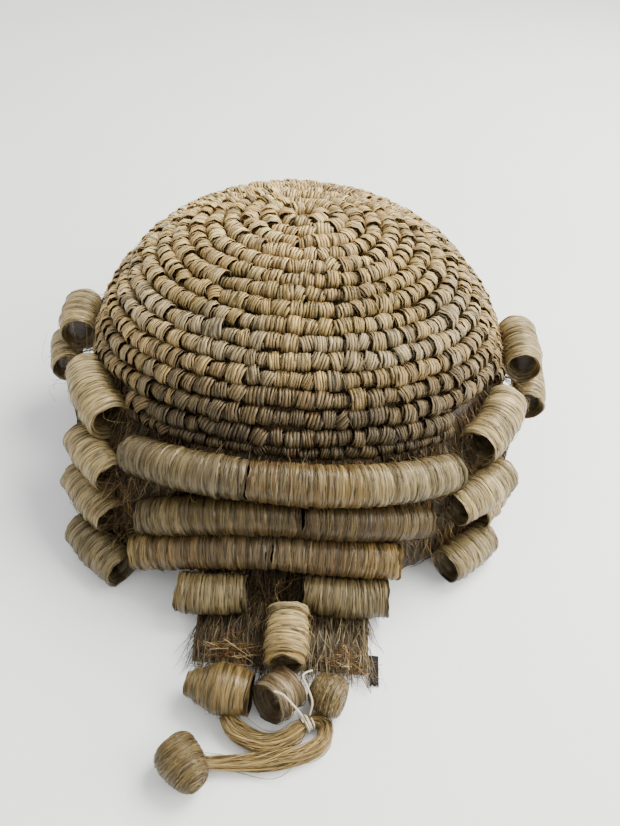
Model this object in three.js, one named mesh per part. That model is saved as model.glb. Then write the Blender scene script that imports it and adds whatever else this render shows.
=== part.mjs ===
// A barrister's wig of pale horsehair, lying on a table and keeping its form.
// Millimetres, +Z up. The table is z = 0 and the back of the wig faces -Y.
// A net cap carries rings of frizzed hair round a swirl. Rolled curls hang below
// the rings at the back and sides, and two tied tails lie behind the nape.
import * as THREE from "three";

// Cap: the net foundation that all the hair is sewn to.
const capHalfWidth = 86;
const capBackReach = 86; // swirl to the back, at the waist
const capFrontReach = 107; // swirl to the brow, at the waist
const capRise = 57.5; // waist to crown
const capWaist = 38.5; // table to the widest line
const rimTuck = 4; // the rim is this much narrower than the waist
const capWall = 2;
const swirlLeft = 2.8; // the swirl sits a little left of the middle
const swirlForward = 11; // and a little forward of it
const planPower = 2.03; // 2 is an ellipse, more is squarer
const profilePower = 2.05;

// Frizz: rows of small curls sewn round the swirl.
const rowPitch = 6.7;
const rowDepth = 5.6; // how far a row stands off the net
const rowGap = 0.55;
const netGap = 1; // the rows' backs clear the net
const swirlShare = 0.43; // the swirl's radius in rows
const browClearance = 2; // the lowest brow row ends above the rim
const rowFan = 0.11; // rows spread this share wider at the sides than at the back
const backRowTurn = 45; // degrees each side of the back that the last back rows reach
const browStart = 72; // degrees from the back where the brow rows begin

// Rolled curls.
const rollRadius = 7.6;
const rollBore = 3.6;
const seat = 0.3; // gap left between pieces that touch
const rollSides = 12;

// Nape: a flap of net behind the cap, with short hair on it.
const flapReach = 47; // beyond the cap's back
const flapThickness = 1.8;
const flapTopHalfAngle = 27;
const flapHalfWidth = 31;
const flapShift = 3; // the flap lies this much to the right
const napeHairDepth = 3.6;
const napeCurlRadius = 7.9;

// Tails: a rolled tail, a looped lock, two knobs and the string that ties them.
const tailRadius = 9.2;
const lockRadius = 2.7;
const knobRadius = 7;
const stringRadius = 0.6;
const tieRadius = 3.5;
const tieWidth = 4;
const tieSqueeze = 0.7; // the string draws the lock in
const tapeWidth = 3.6;
const tapeLength = 11;
const tapeThickness = 1.2;

const hair = (color) => new THREE.MeshStandardMaterial({ color, roughness: 0.75, metalness: 0 });
const straw = hair("#b89a6a");
const paleStraw = hair("#cdb98c");
const darkHair = hair("#8a7350");
const greyHair = hair("#7d6f5c");
const net = hair("#6d5a40");
const whiteString = hair("#d8d2c2");
const blackTape = hair("#1c1b1a");

const wig = new THREE.Group();
const rad = THREE.MathUtils.degToRad;
const mix = THREE.MathUtils.lerp;

function addPiece(name, geometry, material, parent = wig) {
  const mesh = new THREE.Mesh(geometry, material);
  mesh.name = name;
  parent.add(mesh);
  return mesh;
}

// Rings of points are joined into one closed surface. An open run of rings is
// closed by a zigzag of faces at each end, and all faces are turned outward.
function loft(rings, endless = false) {
  const around = rings[0].length;
  const points = rings.flat();
  const faces = [];
  const joins = endless ? rings.length : rings.length - 1;
  for (let i = 0; i < joins; i++) {
    for (let j = 0; j < around; j++) {
      const a = i * around + j;
      const b = i * around + ((j + 1) % around);
      const c = ((i + 1) % rings.length) * around + j;
      const d = ((i + 1) % rings.length) * around + ((j + 1) % around);
      faces.push(a, b, d, a, d, c);
    }
  }
  for (const first of endless ? [] : [0, points.length - around]) {
    for (let low = 0, high = around - 1; low + 1 < high; low++, high--) {
      const cap = [low, low + 1, high];
      if (low + 2 < high) cap.push(low + 1, high - 1, high);
      faces.push(...(first ? cap : cap.reverse()).map((k) => first + k));
    }
  }
  const geometry = new THREE.BufferGeometry().setFromPoints(points);
  geometry.setIndex(signedVolume(points, faces) < 0 ? faces.reverse() : faces);
  geometry.computeVertexNormals();
  return geometry;
}

function signedVolume(points, faces) {
  const normal = new THREE.Vector3();
  let volume = 0;
  for (let k = 0; k < faces.length; k += 3) {
    normal.crossVectors(points[faces[k + 1]], points[faces[k + 2]]);
    volume += points[faces[k]].dot(normal) / 6;
  }
  return volume;
}

// A point of the cap. turn is degrees from the back, towards the right. level is
// 0 at the swirl, 1 at the waist and 2 at the rim. off is the distance outside it.
function onCap(turn, level, off) {
  const side = Math.sin(rad(turn));
  const back = Math.cos(rad(turn));
  const fall = Math.min(level, 1) * Math.PI / 2;
  const spread = level < 1 ? Math.sin(fall) ** (2 / profilePower) : 1;
  const lift = level < 1 ? Math.cos(fall) ** (2 / profilePower) : 0;
  const height = level < 1 ? capWaist + (capRise + off) * lift : capWaist * (2 - level);
  const tuck = level > 1 ? rimTuck * (level - 1) ** 2 : 0;
  const drop = level < 1 ? 1 - Math.cos(fall) : 1;
  const brow = mix(capBackReach, capFrontReach, drop * drop * (3 - 2 * drop));
  const reach = back >= 0 ? capBackReach : brow;
  const share = 2 / planPower;
  const x = (capHalfWidth + off - tuck) * Math.sign(side) * Math.abs(side) ** share * spread;
  const y = -(reach + off - tuck) * Math.sign(back) * Math.abs(back) ** share * spread;
  return new THREE.Vector3(x - swirlLeft * lift, y + swirlForward * lift, height);
}

// The same surface, found by height instead of level.
function atHeight(turn, height, off) {
  if (height < capWaist) return onCap(turn, 2 - height / capWaist, off);
  const lift = Math.min(1, (height - capWaist) / (capRise + off));
  return onCap(turn, Math.acos(lift ** (profilePower / 2)) / (Math.PI / 2), off);
}

// Levels of points that lie given distances from the swirl, measured over the hair.
const slopeSteps = 160;
function slopeTable(turn) {
  const table = [{ level: 0, run: 0 }];
  let last = onCap(turn, 0, rowDepth / 2);
  for (let i = 1; i <= slopeSteps; i++) {
    const level = 2 * i / slopeSteps;
    const next = onCap(turn, level, rowDepth / 2);
    table.push({ level, run: table[i - 1].run + next.distanceTo(last) });
    last = next;
  }
  return table;
}
function levelAt(table, run) {
  const i = Math.min(Math.max(table.findIndex((row) => row.run >= run), 1), slopeSteps);
  const [a, b] = [table[i - 1], table[i]];
  return mix(a.level, b.level, (run - a.run) / (b.run - a.run));
}

// The cap's wall: down the outside from the swirl, under the rim, up the inside.
const capTurns = 36;
const capLevels = [0.1, 0.26, 0.42, 0.58, 0.74, 0.9, 1.1, 1.5, 2];
function capRing(level, off) {
  return Array.from({ length: capTurns }, (_, i) => onCap(i * 360 / capTurns, level, off));
}
const outside = capLevels.map((level) => capRing(level, 0));
const inside = capLevels.map((level) => capRing(level, -capWall)).reverse();
addPiece("foundation_cap", loft([...outside, ...inside]), net);

// Section of a frizz row: run is across the row, off is away from the net, both as
// shares of half the row's width and of its depth.
const rowSection = [
  { run: -1, off: 0 },
  { run: 1, off: 0 },
  { run: 1, off: 0.55 },
  { run: 0.1, off: 1 },
  { run: -1, off: 0.6 },
];
const fan = (turn) => 1 + rowFan * Math.sin(rad(turn)) ** 2;
const rowCentre = (row) => (row - 0.5 + swirlShare) * rowPitch;
function rowRing(turn, row, squeeze = 1) {
  const table = slopeTable(turn);
  const half = squeeze * (rowPitch * fan(turn) - rowGap) / 2;
  const centre = (rowCentre(row) - (1 - squeeze) * rowPitch / 2) * fan(turn);
  return rowSection.map(({ run, off }) => {
    const level = levelAt(table, centre + run * half);
    return onCap(turn, level, netGap + off * squeeze * (rowDepth - netGap));
  });
}
function rowArc(row, from, to, steps, squeeze) {
  return loft(Array.from({ length: steps + 1 }, (_, i) =>
    rowRing(mix(from, to, i / steps), row, squeeze)));
}
const twoDigits = (n) => String(n).padStart(2, "0");

// Whole rings end above the side curls. Back rows go on to the highest roll, and
// brow rows go on round the front to the rim.
const sideTop = 7.5 * rollRadius;
const backRollTop = { up: 6.8, fat: 1.01 };
function rowsAbove(turn, height) {
  const lowest = slopeTable(turn).find((row) => onCap(turn, row.level, rowDepth / 2).z <= height);
  return Math.floor(lowest.run / (rowPitch * fan(turn)) - swirlShare);
}
const ringCount = rowsAbove(60, sideTop);
const backCount = rowsAbove(0, (backRollTop.up + backRollTop.fat) * rollRadius) + 1;
const browCount = Math.min(...[browStart, 100, 180].map((turn) => rowsAbove(turn, browClearance)));

const swirlRings = [0.98, 0.98, 0.5].map((wide, i) =>
  Array.from({ length: 10 }, (_, k) => {
    const turn = k * 36;
    const level = levelAt(slopeTable(turn), wide * (swirlShare * rowPitch - rowGap / 2));
    return onCap(turn, level, [netGap, 0.6 * rowDepth, 0.9 * rowDepth][i]);
  }),
);
addPiece("crown_swirl", loft(swirlRings), darkHair);

for (let row = 1; row <= ringCount; row++) {
  const turns = Math.min(34, 12 + 2 * row);
  const rings = Array.from({ length: turns }, (_, i) => rowRing(i * 360 / turns, row));
  addPiece("frizz_row_" + twoDigits(row), loft(rings, true), row < 12 ? straw : darkHair);
}
for (let row = ringCount + 1; row <= backCount; row++) {
  const squeeze = row < backCount ? 1 : 0.5; // the roll presses on the last one
  const geometry = rowArc(row, -backRowTurn, backRowTurn, 10, squeeze);
  addPiece("back_row_" + twoDigits(row), geometry, darkHair);
}
for (let row = ringCount + 1; row <= browCount; row++) {
  addPiece("brow_row_" + twoDigits(row), rowArc(row, browStart, 360 - browStart, 20), straw);
}

// A hollow roll of hair along a run of centre points, a little fuller in the middle.
function roll(centres, radius, bore, endShare = 0.93) {
  const path = new THREE.CatmullRomCurve3(centres);
  const steps = Math.max(3, Math.round(path.getLength() / 9));
  const frame = (share) => {
    const along = path.getTangentAt(share);
    const over = new THREE.Vector3(0, 0, 1).addScaledVector(along, -along.z).normalize();
    return { at: path.getPointAt(share), over, across: over.clone().cross(along) };
  };
  const shares = Array.from({ length: steps + 1 }, (_, i) => i / steps);
  const wall = shares.map((share) => (
    { share, size: radius * mix(endShare, 1, Math.sin(Math.PI * share) ** 0.6) }));
  wall.push(...shares.reverse().map((share) => ({ share, size: bore })));
  const rings = [];
  for (let j = 0; j < rollSides; j++) {
    const angle = 2 * Math.PI * j / rollSides;
    rings.push(wall.map(({ share, size }) => {
      const { at, over, across } = frame(share);
      return at.addScaledVector(over, size * Math.cos(angle))
        .addScaledVector(across, size * Math.sin(angle));
    }));
  }
  return loft(rings, true);
}

// Curls at the sides. The first column is the end nearer the back. Turns are in
// degrees from the back, and up, out and fat are in roll radii: height over the
// table and distance off the cap of the curl's centre, and its own size.
const sideCurls = [
  { name: "left_front_upper", turn: [-83, -95], up: [6.15, 6], out: [1.75, 2.3], fat: 1.06 },
  { name: "left_front_lower", turn: [-80, -90], up: [4.4, 4.3], out: [2.52, 3.15], fat: 0.9 },
  { name: "left_rear_first", turn: [-47, -66], up: [6.2, 6.3], out: [1.19, 1.17], fat: 1.16 },
  { name: "left_rear_second", turn: [-40, -53], up: [4.5, 4.56], out: [2.33, 2.3], fat: 0.98 },
  { name: "left_rear_third", turn: [-37, -50], up: [2.64, 2.76], out: [3.3, 3.18], fat: 0.97 },
  { name: "left_rear_fourth", turn: [-30.5, -43], up: [0.97, 0.97], out: [4.64, 4.47], fat: 0.97 },
  { name: "right_front_upper", turn: [80, 94], up: [6.85, 6.85], out: [1.78, 1.8], fat: 1.06 },
  { name: "right_front_lower", turn: [77, 91], up: [5.02, 4.97], out: [2.25, 2.45], fat: 0.95 },
  { name: "right_rear_first", turn: [50, 68], up: [6.1, 6.15], out: [1.2, 1.18], fat: 1.12 },
  { name: "right_rear_second", turn: [39.6, 54.5], up: [4.15, 4.2], out: [2.1, 2.4], fat: 0.99 },
  { name: "right_rear_third", turn: [48, 60], up: [2.32, 2.3], out: [2.4, 2.3], fat: 0.93 },
  { name: "right_rear_fourth", turn: [36.5, 47.5], up: [0.98, 0.98], out: [3.5, 3.5], fat: 0.98 },
];
for (const curl of sideCurls) {
  const centres = [0, 0.5, 1].map((share) => atHeight(
    mix(...curl.turn, share),
    mix(...curl.up, share) * rollRadius,
    mix(...curl.out, share) * rollRadius,
  ));
  const geometry = roll(centres, curl.fat * rollRadius, rollBore);
  addPiece("curl_" + curl.name, geometry, paleStraw);
}

// Rolls across the back. A row droops and stands out towards its ends: up and out
// are at the middle, the ends' own values are at endTurn, and turn gives the pieces.
const backRolls = [
  {
    name: "back_roll_first",
    pieces: { left: [-37.5, -7.6], right: [-6.8, 40.6] },
    left: { endTurn: -39, up: 5.55, out: 1.3 },
    right: { endTurn: 42, up: 5.6, out: 1.2 },
    ...backRollTop,
    out: 1.2,
    material: paleStraw,
  },
  {
    name: "back_roll_second",
    pieces: { left: [-29.3, 3.5], right: [4.3, 33.2] },
    left: { endTurn: -30, up: 3.6, out: 2.75 },
    right: { endTurn: 35, up: 3.3, out: 1.65 },
    up: 4.8,
    out: 1.07,
    fat: 0.97,
    material: straw,
  },
  {
    name: "back_roll_third",
    pieces: { left: [-29, -2], right: [-1.2, 24] },
    left: { endTurn: -29, up: 1.85, out: 3.72 },
    right: { endTurn: 24.5, up: 2.42, out: 2.8 },
    up: 2.97,
    out: 1.85,
    fat: 0.96,
    material: straw,
  },
];
for (const row of backRolls) {
  for (const [side, [from, to]] of Object.entries(row.pieces)) {
    const centres = [0, 0.25, 0.5, 0.75, 1].map((share) => {
      const turn = mix(from, to, share);
      const end = turn < 0 ? row.left : row.right;
      const bend = (turn / end.endTurn) ** 2;
      return atHeight(turn, mix(row.up, end.up, bend) * rollRadius, mix(row.out, end.out, bend) * rollRadius);
    });
    addPiece(row.name + "_" + side, roll(centres, row.fat * rollRadius, rollBore), row.material);
  }
}

// Nape flap: its upper edge follows the cap, and its lower end lies on the table.
// out and up are in flap reaches and waists, and follow says how far the edge
// still follows the cap's bend.
const flapSlope = [
  { out: 0.012, up: 0.68, follow: 1 },
  { out: 0.07, up: 0.42, follow: 0.8 },
  { out: 0.24, up: 0.13, follow: 0.4 },
  { out: 0.42, up: 0, follow: 0.1 },
  { out: 1, up: 0, follow: 0 },
];
const flapColumns = [-1, -0.6, -0.2, 0.2, 0.6, 1];
function flapPoint({ out, up, follow }, column, lift) {
  const bent = atHeight(column * flapTopHalfAngle, up * capWaist, out * flapReach + 0.5);
  const straight = new THREE.Vector3(
    flapShift + column * flapHalfWidth, -capBackReach - out * flapReach, up * capWaist);
  return straight.lerp(bent, follow).setZ(up * capWaist + lift);
}
const flapRings = flapColumns.map((column) => [
  ...flapSlope.map((row) => flapPoint(row, column, 0)),
  ...flapSlope.map((row) => flapPoint(row, column, flapThickness)).reverse(),
]);
addPiece("nape_flap", loft(flapRings), net);

// Two short rolls lie on the flap, against the third row.
const lowRolls = [
  { name: "back_roll_fourth_left", turn: [-18, -5.8], out: [4.4, 3.55], fat: 1 },
  { name: "back_roll_fourth_right", turn: [5, 20.5], out: [3.18, 4.02], fat: 1 },
];
for (const low of lowRolls) {
  const height = flapThickness + seat + low.fat * rollRadius;
  const centres = [0, 0.5, 1].map((share) =>
    atHeight(mix(...low.turn, share), height, mix(...low.out, share) * rollRadius));
  addPiece(low.name, roll(centres, low.fat * rollRadius, rollBore), straw);
}

// Short hair on the flap: a low pillow with a ragged lower edge.
const napeTop = flapThickness + seat;
const napeBack = -capBackReach - flapReach;
const napeFront = napeBack + 0.37 * flapReach;
const napeEdge = [0, 1.6, 0.4, 2.2, 0.9, 1.9, 0.3, 1.2, 0];
const napeRings = napeEdge.map((ragged, i) => {
  const column = i / (napeEdge.length - 1) * 2 - 1;
  const x = flapShift + 0.97 * column * flapHalfWidth;
  const depth = napeHairDepth * (1 - 0.45 * column ** 4);
  return [
    new THREE.Vector3(x, napeFront, napeTop),
    new THREE.Vector3(x, napeFront, napeTop + 0.15 * depth),
    new THREE.Vector3(x, mix(napeFront, napeBack, 0.32), napeTop + depth),
    new THREE.Vector3(x, mix(napeFront, napeBack, 0.75), napeTop + 0.8 * depth),
    new THREE.Vector3(x, napeBack + 0.3 + ragged, napeTop + 0.3 * depth),
    new THREE.Vector3(x, napeBack + 0.3 + ragged, napeTop),
  ];
});
addPiece("nape_hair", loft(napeRings), greyHair);

// The pale ringlet that lies down the middle of the nape.
const napeCurlHeight = napeTop + napeHairDepth + seat + napeCurlRadius;
const napeCurlPath = [0.1, 0.66, 1.22].map((share) =>
  new THREE.Vector3(flapShift + 2, mix(napeFront, napeBack, share) - 0.02 * flapReach, napeCurlHeight));
addPiece("nape_curl", roll(napeCurlPath, napeCurlRadius, rollBore, 0.9), paleStraw);

// Tails. Their group stands at the flap's end, and lengths are in tail radii.
const tails = new THREE.Group();
tails.position.set(flapShift, napeBack, 0);
wig.add(tails);
const tailPoint = ([x, y, z]) => new THREE.Vector3(x, y, z).multiplyScalar(tailRadius);

const tailRolls = [
  { name: "tail_roll", fat: 0.9, ends: [[-3.15, -1.3, 0.93], [-1.1, -1.4, 0.93]] },
  { name: "tail_ringlet", fat: 0.75, ends: [[-0.35, -1.2, 0.79], [0.72, -1.45, 0.79]] },
];
for (const { name, fat, ends } of tailRolls) {
  addPiece(name, roll(ends.map(tailPoint), fat * tailRadius, rollBore, 0.92), straw, tails);
}

// A solid tapering body along a path, with a flat end at each side.
function tapered(path, sizes, sides) {
  const steps = sizes.length - 1;
  return loft(sizes.map((size, i) => {
    const along = path.getTangentAt(i / steps);
    const over = new THREE.Vector3(0, 0, 1).addScaledVector(along, -along.z).normalize();
    const across = over.clone().cross(along);
    const at = path.getPointAt(i / steps);
    return Array.from({ length: sides }, (_, j) => {
      const angle = 2 * Math.PI * (j + 0.5) / sides;
      return at.clone().addScaledVector(over, size * Math.cos(angle))
        .addScaledVector(across, size * Math.sin(angle));
    });
  }));
}

// One lock leaves the rolled tail, loops up to the tie and comes back to the left knob.
const lockLow = lockRadius / tailRadius;
const tieHigh = tieRadius / tailRadius;
const lockRoute = [
  [-1.45, -2.42, 1.45 * lockLow], [-0.85, -2.72, lockLow], [-0.2, -2.8, lockLow], [0.45, -2.58, lockLow],
  [1, -2.2, tieHigh], [1.42, -1.95, tieHigh], [1.8, -2.05, lockLow], [1.78, -2.55, lockLow],
  [1.3, -2.95, lockLow], [0.5, -3.25, lockLow], [-0.5, -3.48, lockLow], [-1.95, -3.68, 1.3 * lockLow],
];
const lockSteps = 22;
const tieShare = 0.355;
const lockPath = new THREE.CatmullRomCurve3(lockRoute.map(tailPoint));
const lockSizes = Array.from({ length: lockSteps + 1 }, (_, i) => {
  const nearTie = Math.abs(i / lockSteps - tieShare) * lockSteps < 1.6;
  return lockRadius * (nearTie ? tieSqueeze : 1 - 0.25 * Math.max(0, i / lockSteps - 0.6));
});
addPiece("tail_lock", tapered(lockPath, lockSizes, 8), straw, tails);

const knobHigh = knobRadius / tailRadius;
const knobs = [
  {
    name: "tail_knob_left",
    route: [[-3.6, -3.2, knobHigh + 0.12], [-2.9, -3.85, knobHigh], [-2.2, -4.5, knobHigh]],
    sizes: [0.7, 0.98, 1, 0.96, 0.86, 0.66],
  },
  {
    name: "tail_knob_right",
    route: [[1.2, -0.92, knobHigh], [1.8, -1.12, knobHigh], [2.5, -1.37, knobHigh + 0.1]],
    sizes: [0.6, 0.88, 1, 1, 0.9],
  },
];
for (const { name, route, sizes } of knobs) {
  const path = new THREE.CatmullRomCurve3(route.map(tailPoint));
  addPiece(name, tapered(path, sizes.map((size) => size * knobRadius), 12), straw, tails);
}

// The tie: string wound round the lock where it turns, and its two free ends.
const tieBore = tieSqueeze * lockRadius + 2 * seat;
const tieGeometry = new THREE.LatheGeometry([
  new THREE.Vector2(tieBore, -tieWidth / 2),
  new THREE.Vector2(tieRadius, -tieWidth / 2),
  new THREE.Vector2(tieRadius, tieWidth / 2),
  new THREE.Vector2(tieBore, tieWidth / 2),
  new THREE.Vector2(tieBore, -tieWidth / 2),
], 12);
const tie = addPiece("tie_winding", tieGeometry, whiteString, tails);
tie.position.copy(lockPath.getPointAt(tieShare));
tie.quaternion.setFromUnitVectors(new THREE.Vector3(0, 1, 0), lockPath.getTangentAt(tieShare));

const stringSection = new THREE.Shape(Array.from({ length: 8 }, (_, i) => new THREE.Vector2(
  stringRadius * Math.cos(i * Math.PI / 4), stringRadius * Math.sin(i * Math.PI / 4))));
const stringEnds = {
  tie_end_upper: [
    [1.25, -1.98, 0.88], [1.3, -1.7, 1.3], [1.1, -1.35, 1.62], [0.9, -0.9, 1.45],
    [1, -0.62, 1.2], [1.25, -0.42, 1],
  ],
  tie_end_lower: [
    [1.02, -2.1, 0.88], [0.75, -1.97, 1.35], [0.4, -1.85, 1.55], [0.05, -1.65, 1.6],
    [-0.25, -1.45, 1.65],
  ],
};
for (const [name, route] of Object.entries(stringEnds)) {
  const extrudePath = new THREE.CatmullRomCurve3(route.map(tailPoint));
  const steps = Math.round(extrudePath.getLength() / (5 * stringRadius));
  const geometry = new THREE.ExtrudeGeometry(stringSection, { steps, extrudePath });
  addPiece(name, geometry, whiteString, tails);
}

// A cut end of black tape shows beside the flap.
const tape = new THREE.BoxGeometry(tapeWidth, tapeLength, tapeThickness);
addPiece("tape_end", tape, blackTape, wig).position.set(
  flapShift + flapHalfWidth + 3 * seat + tapeWidth / 2,
  napeBack + tapeLength / 6,
  tapeThickness / 2,
);

export default wig;
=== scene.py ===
import math
import bpy
import numpy as np
from mathutils import Matrix, Vector


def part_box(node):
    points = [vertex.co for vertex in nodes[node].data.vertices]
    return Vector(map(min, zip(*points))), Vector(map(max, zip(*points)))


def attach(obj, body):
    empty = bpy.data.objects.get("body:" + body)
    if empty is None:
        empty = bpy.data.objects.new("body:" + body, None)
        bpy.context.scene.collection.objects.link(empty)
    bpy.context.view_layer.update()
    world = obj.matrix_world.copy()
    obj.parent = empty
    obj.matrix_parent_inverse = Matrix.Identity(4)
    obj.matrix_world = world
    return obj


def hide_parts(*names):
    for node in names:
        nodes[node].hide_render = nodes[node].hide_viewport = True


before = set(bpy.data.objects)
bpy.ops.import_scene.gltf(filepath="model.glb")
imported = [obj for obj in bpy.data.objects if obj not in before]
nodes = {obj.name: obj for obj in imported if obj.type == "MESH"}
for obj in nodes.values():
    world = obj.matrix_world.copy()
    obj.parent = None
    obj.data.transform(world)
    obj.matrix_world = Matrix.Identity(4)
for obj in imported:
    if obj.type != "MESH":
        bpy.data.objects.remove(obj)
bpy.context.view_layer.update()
chance = np.random.default_rng(41)
mm = 0.001
turnFull = 2 * math.pi
print("frame loaded:", len(nodes), "nodes")

# camera: stands behind the wig and looks down at it, as the photograph does

cameraSet = {"place": (6.35, -233.3, 224.0), "pitch": 44, "roll": -4.8, "focalPixels": 640,
             "sensor": 36, "picture": (620, 826)}


def makeCamera(s):
    pitch, roll = math.radians(s["pitch"]), math.radians(s["roll"])
    level, high = Vector((1, 0, 0)), Vector((0, math.sin(pitch), math.cos(pitch)))
    up = high * math.cos(roll) + level * math.sin(roll)
    right = level * math.cos(roll) - high * math.sin(roll)
    back = right.cross(up)
    data = bpy.data.cameras.new("camera")
    data.sensor_width = s["sensor"]
    data.lens = s["sensor"] * s["focalPixels"] / max(s["picture"])
    data.clip_start, data.clip_end = 0.01, 20
    camera = bpy.data.objects.new("camera", data)
    bpy.context.scene.collection.objects.link(camera)
    facing = Matrix((right, up, back)).transposed().to_4x4()
    camera.matrix_world = Matrix.Translation(Vector(s["place"]) * mm) @ facing
    bpy.context.scene.camera = camera


makeCamera(cameraSet)


# shader writing: a socket that takes plain arithmetic, and one way to add any node

class Wire:
    def __init__(self, shader, socket):
        self.shader, self.socket = shader, socket

    def sum(self, operation, first, second):
        return self.shader.node("ShaderNodeMath", {"operation": operation}, {0: first, 1: second})

    def __add__(self, other):
        return self.sum("ADD", self, other)

    def __radd__(self, other):
        return self.sum("ADD", other, self)

    def __sub__(self, other):
        return self.sum("SUBTRACT", self, other)

    def __rsub__(self, other):
        return self.sum("SUBTRACT", other, self)

    def __mul__(self, other):
        return self.sum("MULTIPLY", self, other)

    def __rmul__(self, other):
        return self.sum("MULTIPLY", other, self)


class Shader:
    def __init__(self, name):
        self.material = bpy.data.materials.new(name)
        self.material.use_nodes = True
        self.tree = self.material.node_tree
        self.surface = next(n for n in self.tree.nodes if n.type == "BSDF_PRINCIPLED")

    def feed(self, node, sockets):
        for key, value in sockets.items():
            if isinstance(value, Wire):
                self.tree.links.new(value.socket, node.inputs[key])
            else:
                node.inputs[key].default_value = value

    def node(self, kind, settings=None, sockets=None, out=0):
        node = self.tree.nodes.new(kind)
        for key, value in (settings or {}).items():
            if key == "stops":
                ramp = node.color_ramp
                while len(ramp.elements) < len(value):
                    ramp.elements.new(0.5)
                for element, (at, shade) in zip(ramp.elements, value):
                    element.position, element.color = at, (*[shade] * 3, 1)
            else:
                setattr(node, key, value)
        self.feed(node, sockets or {})
        return Wire(self, node.outputs[out])

    def shaded(self, colour, shade):
        grey = self.node("ShaderNodeCombineColor", None, {0: shade, 1: shade, 2: shade})
        return self.node("ShaderNodeMix", {"data_type": "RGBA", "blend_type": "MULTIPLY"},
                         {0: 1.0, 6: colour, 7: grey}, out=2)

    def finish(self, **sockets):
        self.feed(self.surface, {key.replace("_", " "): value for key, value in sockets.items()})
        return self.material


def linear(shade):
    return tuple(((c / 255 + 0.055) / 1.055) ** 2.4 if c > 10 else c / 255 / 12.92 for c in shade)


# hair: the colour comes with the mesh, the strands from a map in millimetres along and across

hairCommon = {"lock": (0.05, 1.3), "strandStops": [(0.26, 0.0), (0.45, 0.75), (0.68, 1.0)],
              "lineStops": [(0.35, 0.0), (0.42, 0.8), (0.55, 1.0)], "lockShade": (0.66, 0.62),
              "sheen": 0.55, "sheenTint": (1.0, 0.88, 0.66, 1)}
hairSets = {
    "pale_hair": {"strand": (0.12, 4.2), "line": (0.09, 1.25), "contrast": 0.42, "partingShade": 0.72,
                  "roughness": 0.3, "bump": 0.00014},
    "straw_hair": {"strand": (0.12, 4.4), "line": (0.09, 1.35), "contrast": 0.45, "partingShade": 0.74,
                   "roughness": 0.33, "bump": 0.00014},
    "dark_hair": {"strand": (0.12, 4.8), "line": (0.09, 1.5), "contrast": 0.5, "partingShade": 0.7,
                  "roughness": 0.38, "bump": 0.00016},
    "grey_hair": {"strand": (0.12, 4.8), "line": (0.09, 1.5), "contrast": 0.5, "partingShade": 0.65,
                  "roughness": 0.42, "bump": 0.00016},
}


def strandNoise(sh, strandMap, stretch, detail, roughness):
    drawn = sh.node("ShaderNodeMapping", None, {"Vector": strandMap, "Scale": (*stretch, 1)})
    return sh.node("ShaderNodeTexNoise", {"noise_dimensions": "2D"},
                   {"Vector": drawn, "Scale": 1.0, "Detail": detail, "Roughness": roughness})


def hairMaterial(name, s):
    sh = Shader(name)
    tint = sh.node("ShaderNodeAttribute", {"attribute_name": "hairTint"})
    strandMap = sh.node("ShaderNodeUVMap", {"uv_map": "strandMap"})
    fine = strandNoise(sh, strandMap, s["strand"], 2.0, 0.6)
    lock = strandNoise(sh, strandMap, s["lock"], 1.0, 0.5)
    parted = strandNoise(sh, strandMap, s["line"], 1.0, 0.5)
    strand = sh.node("ShaderNodeValToRGB", {"stops": s["strandStops"]}, {"Fac": fine})
    line = sh.node("ShaderNodeValToRGB", {"stops": s["lineStops"]}, {"Fac": parted})
    # the dark parting lines across the strands are painted shade in the grooves between strand bundles
    shade = (1 - s["contrast"] * (1 - strand)) * (1 - s["partingShade"] * (1 - line))
    shade = shade * (s["lockShade"][0] + s["lockShade"][1] * lock)
    bump = sh.node("ShaderNodeBump", None,
                   {"Height": strand * 0.5 + line, "Distance": s["bump"], "Strength": 0.8})
    return sh.finish(Base_Color=sh.shaded(tint, shade), Roughness=s["roughness"] + 0.2 * (1 - strand),
                     Normal=bump, Specular_IOR_Level=s["sheen"], Specular_Tint=s["sheenTint"])


hairMaterials = {name: hairMaterial("hair_" + name, {**hairCommon, **s})
                 for name, s in hairSets.items()}


def wovenMaterial(name, colour, thread, contrast, roughness, bump):
    sh = Shader(name)
    place = sh.node("ShaderNodeTexCoord", out=3)
    weave = []
    for slant in (0.6, 0.6 + math.pi / 2):
        spun = sh.node("ShaderNodeMapping", None, {"Vector": place, "Rotation": (0, 0, slant)})
        weave.append(sh.node("ShaderNodeTexWave", {"wave_type": "BANDS"},
                             {"Vector": spun, "Scale": 0.3 / thread, "Distortion": 1.5,
                              "Detail": 1.0, "Detail Scale": 2.0}, out=1))
    mesh = weave[0] * weave[1]
    grime = sh.node("ShaderNodeTexNoise", None, {"Vector": place, "Scale": 90.0, "Detail": 4.0})
    shade = (1 - contrast * mesh) * (0.7 + 0.6 * grime)
    tinted = sh.shaded((*linear(colour), 1), shade)
    bumped = sh.node("ShaderNodeBump", None, {"Height": mesh, "Distance": bump, "Strength": 0.8})
    return sh.finish(Base_Color=tinted, Roughness=roughness + 0.1 * grime, Normal=bumped)


netMaterial = wovenMaterial("net_cord", (112, 90, 62), 0.0014, 0.6, 0.75, 0.0004)
tapeMaterial = wovenMaterial("tape_weave", (20, 18, 17), 0.0006, 0.4, 0.85, 0.0002)
print("materials made")

# the floor and the light

floorSet = {"half": 1.6, "colour": (242, 243, 240), "roughness": 0.5}


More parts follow.
